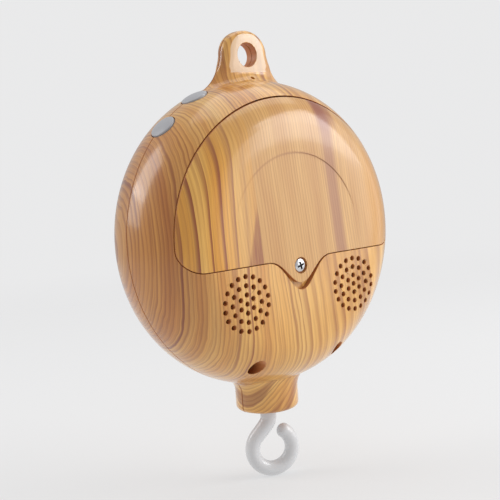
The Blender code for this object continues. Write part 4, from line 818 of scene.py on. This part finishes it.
BROWN_WOOD = (0.35, 0.115, 0.024)
RED_WOOD = (0.27, 0.062, 0.016)
PLUM_WOOD = (0.33, 0.112, 0.055)
AMBER_WOOD = (0.66, 0.30, 0.05)
# Painted highlight: the lug's flat pad is lightened towards cream, for the light it reflects
PAD_PAINTED_HIGHLIGHT = (0.72, 0.51, 0.32)
# Painted shade: the left flank is multiplied darker and more saturated, for the shade it lies in
FLANK_PAINTED_SHADE = (0.68, 0.50, 0.38)
GROUND = ((0.30, (0.68, 0.290, 0.062)), (0.50, (0.84, 0.450, 0.110)), (0.70, (0.93, 0.570, 0.170)))
EVEN = ((0.30, (0.62, 0.320, 0.090)), (0.50, (0.69, 0.385, 0.115)), (0.70, (0.75, 0.435, 0.140)))
GOLDEN = ((0.30, (0.70, 0.290, 0.030)), (0.50, (0.84, 0.415, 0.062)), (0.70, (0.93, 0.560, 0.150)))
LACQUER = {"Coat_Weight": 0.95, "Coat_Roughness": 0.16, "Specular_IOR_Level": 0.3}
LACQUER_ROUGH = (0.34, 0.44)
NOISE_SPAN = (0.3, 0.7)
WOOD_RELIEF = 0.000010
PLASTIC_RELIEF = 0.000008
METAL_RELIEF = 0.000004

# The print's three kinds of line: how many to one growth line, and where in its spacing each darkens and ends
LINE = ((0.30, 0.88), (1.0, 0.92))
THIN_LINES, THIN = 2.7, ((0.25, 0.80), (1.0, 0.86))
STREAKS, STREAK = 0.31, ((0.58, 0.93), (1.0, 0.95))
ALONG_LINE, ALONG_FIBRE = 0.011, 0.06

# Where the prints, the painted shade and the painted highlight change, in millimetres from the middle of the
# body
NECK_JOIN = 50.0
NECK_GRAIN = (-50.0, -54.0)
NECK_DARK = (-48.0, -57.0)
FLANK = (-28.0, -48.0)
PAD_HIGHLIGHT_DEPTHS = ((2.80, 2.84), (2.92, 2.88))
PAD_HIGHLIGHT_RISE = (57.6, 57.8)
STREAK_AT, STREAK_WIDE, STREAK_RISE = 20.0, (4.4, 1.2), (30.0, 42.0)
CORNER_AT, CORNER_WIDE, CORNER_RISE = 21.5, (6.5, 3.0), (33.0, 41.0)
AMBER_SIDE = (30.0, 38.0)
ARCH_SHADE_LINE, ARCH_SHADE_RISE = (0.70, 0.10), (6.0, 16.0)
STRIP_LEAN, STRIP_EDGE, STRIP_RISE = 0.065, (-16.8, -17.2), (44.0, 20.0)
STRIP_SIDE = (-33.0, -22.0)
WEDGE_AT, WEDGE_LEAN, WEDGE_WIDE, WEDGE_RISE = 21.3, -0.25, (0.0, 1.4), (17.0, 5.0)


def pine(r, count, z, seed, ground, fine, bold, often):
    """Printed pine over a count of growth lines: ground tone, fine lines, bold streaks, fibres."""
    along = r.times(z, ALONG_LINE)
    count = r.plus(count, r.grain(count, 0.65, seed + 9.0, along))
    tone = r.grain(count, 0.17, seed, along, 2.0)
    strength = r.grain(count, 0.50, seed + 4.0, along)
    fibre = r.grain(count, 4.5, seed, r.times(z, ALONG_FIBRE), 2.0)
    line = r.ridge(count, *LINE)
    thin = r.ridge(r.times(count, THIN_LINES), *THIN)
    streak = r.ridge(r.times(count, STREAKS), *STREAK)
    colour = r.ramp(tone, *ground)
    for mark, share, wood in ((thin, r.band(strength, 0.70, 0.30, 0.0, fine * 0.34), BROWN_WOOD),
                              (line, r.band(strength, 0.28, 0.68, fine * 0.40, fine), BROWN_WOOD),
                              (streak, r.band(strength, often, often + 0.20, 0.0, bold), RED_WOOD)):
        colour = r.mix(r.times(mark, share), colour, wood)
    return r.mix(r.band(fibre, 0.30, 0.75, 0.0, 0.26), colour, BROWN_WOOD), line, fibre


def body_spot(r):
    """Millimetres from the middle of the body."""
    return r.parts(r.place((1000.0, 1000.0, 1000.0), (0.0, 0.0, 1000.0 * EYE_RISE)))


def lacquered(r, colour, line, fibre):
    """The gloss over a print, with its lines and fibres just felt."""
    return r.finish(colour, r.band(fibre, *NOISE_SPAN, *LACQUER_ROUGH), line, WOOD_RELIEF, **LACQUER)


def shell_wood():
    """The shells' print: grain that runs upright over the round, wraps the sides and leans on the neck, with
    painted shade on the left flank and a painted highlight on the lug's flat pad.
    """
    r = Recipe("shell_wood")
    x, y, z = body_spot(r)
    sway = r.noise(r.place((22.0, 22.0, 9.0)))
    ripple = r.noise(r.place((120.0, 60.0, 30.0), (3.0, 0.0, 0.0)), 2.0)
    tremble = r.noise(r.place((420.0, 260.0, 90.0)))
    reach = r.plus(r.plus(r.times(x, x), r.times(z, z)), 1.0)
    sideways = r.sum("DIVIDE", r.times(x, r.sum("ABSOLUTE", x)), reach)
    wrap = r.times(r.times(r.plus(y, 1000.0 * BACK_DEPTH), 0.65), sideways)
    lean = r.times(z, r.sum("MULTIPLY_ADD", x, 0.0016, 0.05))
    below = r.sum("SMOOTH_MIN", r.plus(z, NECK_JOIN), 0.0, 4.0)
    grown = r.plus(r.plus(r.plus(x, wrap), lean), r.times(below, -0.55))
    grown = r.plus(grown, r.sum("MULTIPLY_ADD", sway, 11.0, -5.5))
    grown = r.plus(grown, r.times(ripple, 2.4))
    grown = r.plus(grown, r.times(tremble, 0.7))
    count = r.plus(r.times(grown, 0.17), r.times(r.sum("MINIMUM", grown, 16.0), 0.09))
    count = r.plus(count, r.times(r.sum("MINIMUM", grown, -2.0), 0.36))
    neck = r.sum("MULTIPLY_ADD", x, 0.6, r.times(below, -0.9))
    count = r.plus(count, r.times(neck, r.band(z, *NECK_GRAIN, 0.0, 0.30)))
    colour, line, fibre = pine(r, count, z, 0.0, GROUND, 0.72, 0.78, 0.46)
    patch = r.grain(grown, 0.30, 6.0, r.times(z, 0.02))
    patch = r.times(r.band(patch, 0.46, 0.60), r.band(z, *NECK_DARK, 0.12, 0.60))
    colour = r.mix(patch, colour, RED_WOOD)
    # Painted shade: darkens the left flank, for the shade it lies in
    colour = r.mix(r.band(x, *FLANK, 0.0, 0.75), colour, FLANK_PAINTED_SHADE, "MULTIPLY")
    deep = r.sum("ABSOLUTE", y)
    # Painted highlight: the flat pad faces of the lug are lightened, for the light they reflect
    pad = r.times(r.band(deep, *PAD_HIGHLIGHT_DEPTHS[0]), r.band(deep, *PAD_HIGHLIGHT_DEPTHS[1]))
    pad = r.times(pad, r.band(z, *PAD_HIGHLIGHT_RISE))
    colour = r.mix(r.times(pad, 0.80), colour, PAD_PAINTED_HIGHLIGHT)
    return lacquered(r, colour, line, fibre)


def cover_wood():
    """The cover's print: a bold strip on the left, tight grain beside it and one dark streak on the right,
    with a painted shade line along the arch's step.
    """
    r = Recipe("cover_wood")
    x, y, z = body_spot(r)
    sway = r.noise(r.place((26.0, 26.0, 8.0), (5.0, 0.0, 0.0)))
    ripple = r.noise(r.place((150.0, 60.0, 30.0), (9.0, 0.0, 0.0)), 2.0)
    bend = r.plus(r.sum("MULTIPLY_ADD", sway, 5.0, -2.5), ripple)
    leaning = r.plus(r.sum("MULTIPLY_ADD", z, 0.11, x), bend)

    def beside(middle, wide):
        return r.band(r.sum("ABSOLUTE", r.sum("SUBTRACT", leaning, middle)), *wide)

    middle, line, fibre = pine(r, r.times(leaning, 0.85), z, 7.3, EVEN, 0.46, 0.30, 0.60)
    upright = r.times(r.plus(x, bend), 0.64)
    strip, _, rough = pine(r, upright, z, 2.1, GOLDEN, 0.38, 0.95, 0.26)
    streak = r.times(beside(STREAK_AT, STREAK_WIDE), r.band(z, *STREAK_RISE, 0.68, 1.0))
    middle = r.mix(streak, middle, PLUM_WOOD)
    corner = r.times(beside(CORNER_AT, CORNER_WIDE), r.band(z, *CORNER_RISE))
    middle = r.mix(r.times(corner, 0.70), middle, RED_WOOD)
    middle = r.mix(r.band(x, *AMBER_SIDE, 0.0, 0.50), middle, AMBER_WOOD)
    # Painted shade: a soft dark line along the arch's shallow step, for the shade at its edge
    reach = r.sum("SQRT", r.plus(r.times(x, x), r.times(z, z)))
    arch = r.band(r.sum("ABSOLUTE", r.sum("SUBTRACT", reach, 1000.0 * ARCH_R)), *ARCH_SHADE_LINE)
    middle = r.mix(r.times(arch, r.band(z, *ARCH_SHADE_RISE, 0.0, 0.40)), middle, BROWN_WOOD)
    left = r.band(r.sum("MULTIPLY_ADD", z, STRIP_LEAN, x), *STRIP_EDGE)
    left = r.times(left, r.band(z, *STRIP_RISE, 0.55, 1.0))
    strip = r.mix(r.band(x, *STRIP_SIDE, 0.0, 0.55), strip, middle)
    wedge = r.plus(x, r.sum("MULTIPLY_ADD", z, WEDGE_LEAN, WEDGE_AT))
    wedge = r.times(r.band(wedge, *WEDGE_WIDE), r.band(z, *WEDGE_RISE))
    strip = r.mix(r.times(wedge, r.band(rough, 0.35, 0.65, 0.50, 0.85)), strip, RED_WOOD)
    return lacquered(r, r.mix(left, middle, strip), line, fibre)


def plastic(name, colour, roughness, speckle=0.06, scale=900.0, **settings):
    """Moulded plastic with a fine uneven surface."""
    r = Recipe(name)
    fine = r.noise(r.place((scale, scale, scale)), 3.0)
    broad = r.noise(r.place((60.0, 60.0, 60.0)), 2.0)
    shade = tuple(c * (1.0 - speckle) for c in colour)
    dull = r.band(fine, *NOISE_SPAN, roughness - 0.05, roughness + 0.06)
    return r.finish(r.mix(broad, colour, shade), dull, fine, PLASTIC_RELIEF, **settings)


def metal(name, colour, roughness):
    """Bright plated metal with faint turning marks."""
    r = Recipe(name)
    marks = r.noise(r.place((200.0, 200.0, 2600.0)), 2.0)
    shade = tuple(c * 0.82 for c in colour)
    dull = r.band(marks, *NOISE_SPAN, roughness - 0.05, roughness + 0.08)
    return r.finish(r.mix(marks, colour, shade), dull, marks, METAL_RELIEF, Metallic=1.0)


LOOKS = {
    "wood_shell": shell_wood(),
    "wood_door": cover_wood(),
    "button_grey": plastic("button_plastic", (0.45, 0.45, 0.47), 0.36, 0.10),
    "hook_plastic": plastic("hook_gloss", (0.70, 0.705, 0.715), 0.22, 0.04, 500.0,
                            Coat_Weight=0.3, Coat_Roughness=0.1),
    "black_plastic": plastic("moulded_black", (0.028, 0.028, 0.031), 0.48, 0.25),
    "gear_plastic": plastic("gear_white", (0.78, 0.77, 0.72), 0.40, 0.06),
    "plated_steel": metal("plated_steel_look", (0.72, 0.73, 0.75), 0.22),
    "board_green": plastic("board_lacquer", (0.035, 0.16, 0.065), 0.35, 0.35, 1500.0, Coat_Weight=0.5),
    "cone_paper": plastic("cone_paper_look", (0.09, 0.08, 0.075), 0.85, 0.3, 2500.0),
    "cell_sleeve": plastic("cell_sleeve_look", (0.05, 0.10, 0.24), 0.30, 0.12),
    "magnet_grey": plastic("magnet_ferrite", (0.12, 0.12, 0.125), 0.6, 0.3, 1800.0),
}
RAW_WALL = plastic("raw_brown_wall", (0.62, 0.245, 0.085), 0.45, 0.25)
# Painted shade: a dark steel for the insides of the screws' crosses, where shade falls
RECESS_PAINTED_SHADE = metal("recess_painted_shade", (0.10, 0.10, 0.105), 0.5)


# Finishing the pieces

def near_hole(spot):
    """Whether a bench point lies at a grille, a screw well or the eye."""
    holes = [(x, rise, WELL_R + RIM_REACH) for x, rise in WELLS]
    holes += [(side * SPEAKER_X, SPEAKER_RISE, SPEAKER_R) for side in (-1, 1)]
    holes.append((0.0, EYE_RISE, EYE_HOLE_R + RIM_REACH))
    return any(math.hypot(spot.x - x, spot.y - rise) < reach for x, rise, reach in holes)


def soften(thing):
    """Break the sharp rims of the holes and seams in the printed skin, but for the cover's screw hole."""
    shape = bmesh.new()
    shape.from_mesh(thing.data)
    bmesh.ops.dissolve_degenerate(shape, edges=shape.edges, dist=SLIVER)
    screw = Vector((0.0, DOOR_SCREW_RISE))
    rim = [edge for edge in shape.edges if len(edge.link_faces) == 2
           and edge.link_faces[0].material_index != edge.link_faces[1].material_index
           and (edge.verts[0].co.xy - screw).length > SCREW_HEAD_R + 2.0 * SCREW_ROOM]
    holes = [edge for edge in rim if near_hole((edge.verts[0].co + edge.verts[1].co) / 2.0)]
    seams = [edge for edge in rim if edge not in holes]
    for edges, cut in ((holes, RIM_CUT), (seams, SEAM_CUT)):
        edges = [edge for edge in edges if edge.is_valid]
        bmesh.ops.bevel(shape, geom=edges, offset=cut, offset_type="OFFSET", segments=1, profile=0.5,
                        affect="EDGES", material=-1, clamp_overlap=False)
    shape.to_mesh(thing.data)
    shape.free()


def skin_normals(spot):
    """The round skin's own direction at a bench point and its softly crowned one, or None off the skin."""
    depth, rim = (BACK_DEPTH, BACK_RIM) if spot.z > 0.0 else (FRONT_DEPTH, FRONT_RIM)
    reach = math.hypot(spot.x, spot.y)
    side = max(0.0, reach - BODY_R + rim) / rim
    if abs(math.hypot(side, spot.z / depth) - 1.0) > SKIN_MATCH:
        return None
    tilt = math.atan2(side / rim, abs(spot.z) / depth ** 2)
    share = min(1.0, max(0.0, (reach - CROWN_FROM) / (CROWN_TO - CROWN_FROM)))
    crown = CROWN_TILT * share ** 2 * (3.0 - 2.0 * share) * max(0.0, 1.0 - tilt / CROWN_END)
    outward = Vector((spot.x, spot.y, 0.0)) / max(reach, 0.000001)
    up = Vector((0.0, 0.0, math.copysign(1.0, spot.z)))
    return tuple(math.sin(angle) * outward + math.cos(angle) * up for angle in (tilt, tilt + crown))


def even_shading(thing):
    """Shade the round skin by its true form, whatever facets the cuts left in it."""
    mesh = thing.data
    shading = [corner.vector.copy() for corner in mesh.corner_normals]
    for loop in mesh.loops:
        found = skin_normals(mesh.vertices[loop.vertex_index].co)
        if found is not None and shading[loop.index].dot(found[0]) > SKIN_AGREE:
            shading[loop.index] = found[1]
    mesh.normals_split_custom_set(shading)


def raw_inside(spot, facing):
    """Whether a bench point lies in a hole, a seam or the inside. The cover's seat counts as printed skin."""
    reach = math.hypot(spot.x, spot.y)
    if math.hypot(spot.x, spot.y - EYE_RISE) < RAW_EYE_R:
        return abs(facing.z) < 0.5
    if spot.y < RAW_NECK_TOP and math.hypot(spot.x, spot.z) < RAW_NECK_R:
        return True
    depth, rim = (BACK_DEPTH, BACK_RIM) if spot.z > 0.0 else (FRONT_DEPTH, FRONT_RIM)
    if reach > BODY_R - SKIN:
        return False
    share = max(0.0, (reach + SKIN - BODY_R + rim) / rim)
    sink = depth * math.sqrt(max(0.0, 1.0 - min(share, 1.0) ** 2)) - abs(spot.z)
    if facing.z > 0.5 and SEAT_SINK[0] < sink < SEAT_SINK[1]:
        return False
    return sink > SKIN


def show(thing, slot, body, node, smooth=32.0, raw=False, recess=False):
    """A finished piece: into the shared frame, with its look, its body and the node it stands for."""
    mesh = thing.data
    mesh.materials.append(LOOKS[slot])
    if raw:
        mesh.materials.append(RAW_WALL)
    # The screws' cross recesses take the dark steel as painted shade
    if recess:
        mesh.materials.append(RECESS_PAINTED_SHADE)
    else:
        for face in mesh.polygons:
            face.material_index = 1 if raw and raw_inside(face.center, face.normal) else 0
    if raw:
        soften(thing)
    mesh.shade_smooth()
    mesh.set_sharp_from_angle(angle=math.radians(smooth))
    if raw:
        even_shading(thing)
    mesh.transform(BENCH)
    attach(thing, body)
    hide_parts(node)


show(back_shell(), "wood_shell", "case", "back_shell", raw=True)
show(front_shell(), "wood_shell", "case", "front_shell", raw=True)
show(battery_cover(), "wood_door", "door", "battery_cover", raw=True)
for name, key in (("power_button", "power_key"), ("volume_button", "volume_key")):
    show(button(name), "button_grey", key, name, smooth=40.0)
show(hook(), "hook_plastic", "hook_rotor", "hook", smooth=50.0)
head_seat = BACK_DEPTH - SCREW_SINK + GAP / 4.0
cover_screw = cross_screw("cover_screw_fine", spot_at(0.0, DOOR_SCREW_RISE, head_seat), SCREW_HEAD_R,
                          SCREW_HEAD_H, SCREW_SHANK_R, head_seat - SCREW_TIP)
show(cover_screw, "plated_steel", "door_screw", "cover_screw", recess=True)
for number, (x, rise) in enumerate(WELLS, 1):
    case_screw = cross_screw(f"case_screw_{number}_fine", spot_at(x, rise, WELL_SEAT + GAP), CASE_HEAD_R,
                             CASE_HEAD_H, SCREW_SHANK_R, CASE_SCREW_LENGTH)
    show(case_screw, "plated_steel", "case", f"case_screw_{number}", recess=True)

for part in frame["record"]["subparts"]:
    node = frame["nodes"][part["node"]]
    if not node.hide_render:
        for number in range(len(node.material_slots)):
            node.material_slots[number].material = LOOKS[part["material_slot"]]


# Floor, light and camera

FLOOR_R = 1.2
FLOOR_FADE = (0.25, 0.80)
FLOOR_GREY = (0.80, 0.80, 0.80, 1.0)
FLOOR_GLOW = 0.6
PALE = (0.82, 0.82, 0.825, 1.0)
ROOM = (0.86, 0.86, 0.87, 1.0)
ROOM_LEVEL = 0.60
LENS = 73.137
SENSOR = 36.0
NEAR, FAR = 0.01, 20.0
CAMERA_PLACE = (-0.23274, -0.28758, -0.03298)
CAMERA_TURN = ((0.7746, 0.1193, -0.6211), (-0.6283, 0.0323, -0.7773), (-0.0727, 0.9923, 0.1000))

# Name, direction from the body, distance, width, height and power of each soft light
LIGHTS = (
    ("right_window", (0.63, -0.56, 0.48), 0.80, 0.50, 0.28, 1.8),
    ("right_sill", (0.63, -0.56, 0.20), 0.80, 0.50, 0.18, 0.8),
    ("right_low", (0.66, -0.74, 0.10), 0.90, 0.60, 0.50, 1.1),
    ("right_side", (0.90, -0.42, 0.15), 0.90, 0.80, 0.80, 1.4),
    ("left_window", (-0.72, 0.695, 0.66), 0.80, 0.33, 0.38, 1.25),
    ("left_sill", (-0.72, 0.695, 0.30), 0.80, 0.33, 0.28, 0.6),
    ("overhead", (0.3, 0.1, 0.95), 0.90, 0.80, 0.80, 2.5),
)


def backdrop():
    """A pale floor that fades out into the pale surroundings."""
    shape = bmesh.new()
    bmesh.ops.create_circle(shape, cap_ends=True, segments=96, radius=FLOOR_R,
                            matrix=Matrix.Translation((0.0, 0.0, HOOK_LOW - EYE_RISE)))
    mesh = bpy.data.meshes.new("floor")
    shape.to_mesh(mesh)
    shape.free()
    floor = bpy.data.objects.new("floor", mesh)
    bpy.context.scene.collection.objects.link(floor)
    made = bpy.data.materials.new("pale_floor")
    made.use_nodes = True
    tree = made.node_tree
    add, link = tree.nodes.new, tree.links.new
    tree.nodes.remove(tree.nodes["Principled BSDF"])
    matt = add("ShaderNodeBsdfDiffuse")
    matt.inputs["Color"].default_value = FLOOR_GREY
    glow = add("ShaderNodeEmission")
    glow.inputs["Color"].default_value = PALE
    clear = add("ShaderNodeBsdfTransparent")
    even = add("ShaderNodeMixShader")
    even.inputs[0].default_value = FLOOR_GLOW
    link(matt.outputs[0], even.inputs[1])
    link(glow.outputs[0], even.inputs[2])
    spot = add("ShaderNodeTexCoord")
    reach = add("ShaderNodeVectorMath")
    reach.operation = "LENGTH"
    link(spot.outputs["Object"], reach.inputs[0])
    fade = add("ShaderNodeMapRange")
    fade.interpolation_type = "SMOOTHSTEP"
    fade.inputs["From Min"].default_value, fade.inputs["From Max"].default_value = FLOOR_FADE
    link(reach.outputs["Value"], fade.inputs["Value"])
    blend = add("ShaderNodeMixShader")
    link(fade.outputs[0], blend.inputs[0])
    link(even.outputs[0], blend.inputs[1])
    link(clear.outputs[0], blend.inputs[2])
    link(blend.outputs[0], tree.nodes["Material Output"].inputs["Surface"])
    mesh.materials.append(made)


def surroundings():
    world = bpy.data.worlds.new("pale_room")
    world.use_nodes = True
    tree = world.node_tree
    add, link = tree.nodes.new, tree.links.new
    room = tree.nodes["Background"]
    room.inputs["Color"].default_value = ROOM
    room.inputs["Strength"].default_value = ROOM_LEVEL
    seen = add("ShaderNodeBackground")
    seen.inputs["Color"].default_value = PALE
    path = add("ShaderNodeLightPath")
    mix = add("ShaderNodeMixShader")
    link(path.outputs["Is Camera Ray"], mix.inputs[0])
    link(room.outputs[0], mix.inputs[1])
    link(seen.outputs[0], mix.inputs[2])
    link(mix.outputs[0], tree.nodes["World Output"].inputs["Surface"])
    bpy.context.scene.world = world


def soft_light(name, direction, distance, width, height, power):
    lamp = bpy.data.lights.new(name, "AREA")
    lamp.shape = "RECTANGLE"
    lamp.size, lamp.size_y = width, height
    lamp.energy = power
    thing = bpy.data.objects.new(name, lamp)
    towards = Vector(direction).normalized()
    thing.location = towards * distance + Vector((0.0, 0.0, -EYE_RISE))
    thing.rotation_mode = "QUATERNION"
    thing.rotation_quaternion = (-towards).to_track_quat("-Z", "Y")
    thing.visible_camera = False
    bpy.context.scene.collection.objects.link(thing)


def camera():
    lens = bpy.data.cameras.new("camera")
    lens.sensor_width = SENSOR
    lens.lens = LENS
    lens.clip_start, lens.clip_end = NEAR, FAR
    thing = bpy.data.objects.new("camera", lens)
    thing.matrix_world = Matrix.Translation(CAMERA_PLACE) @ Matrix(CAMERA_TURN).to_4x4()
    bpy.context.scene.collection.objects.link(thing)
    bpy.context.scene.camera = thing


backdrop()
surroundings()
for light in LIGHTS:
    soft_light(*light)
camera()
bpy.context.scene.view_settings.view_transform = "Standard"
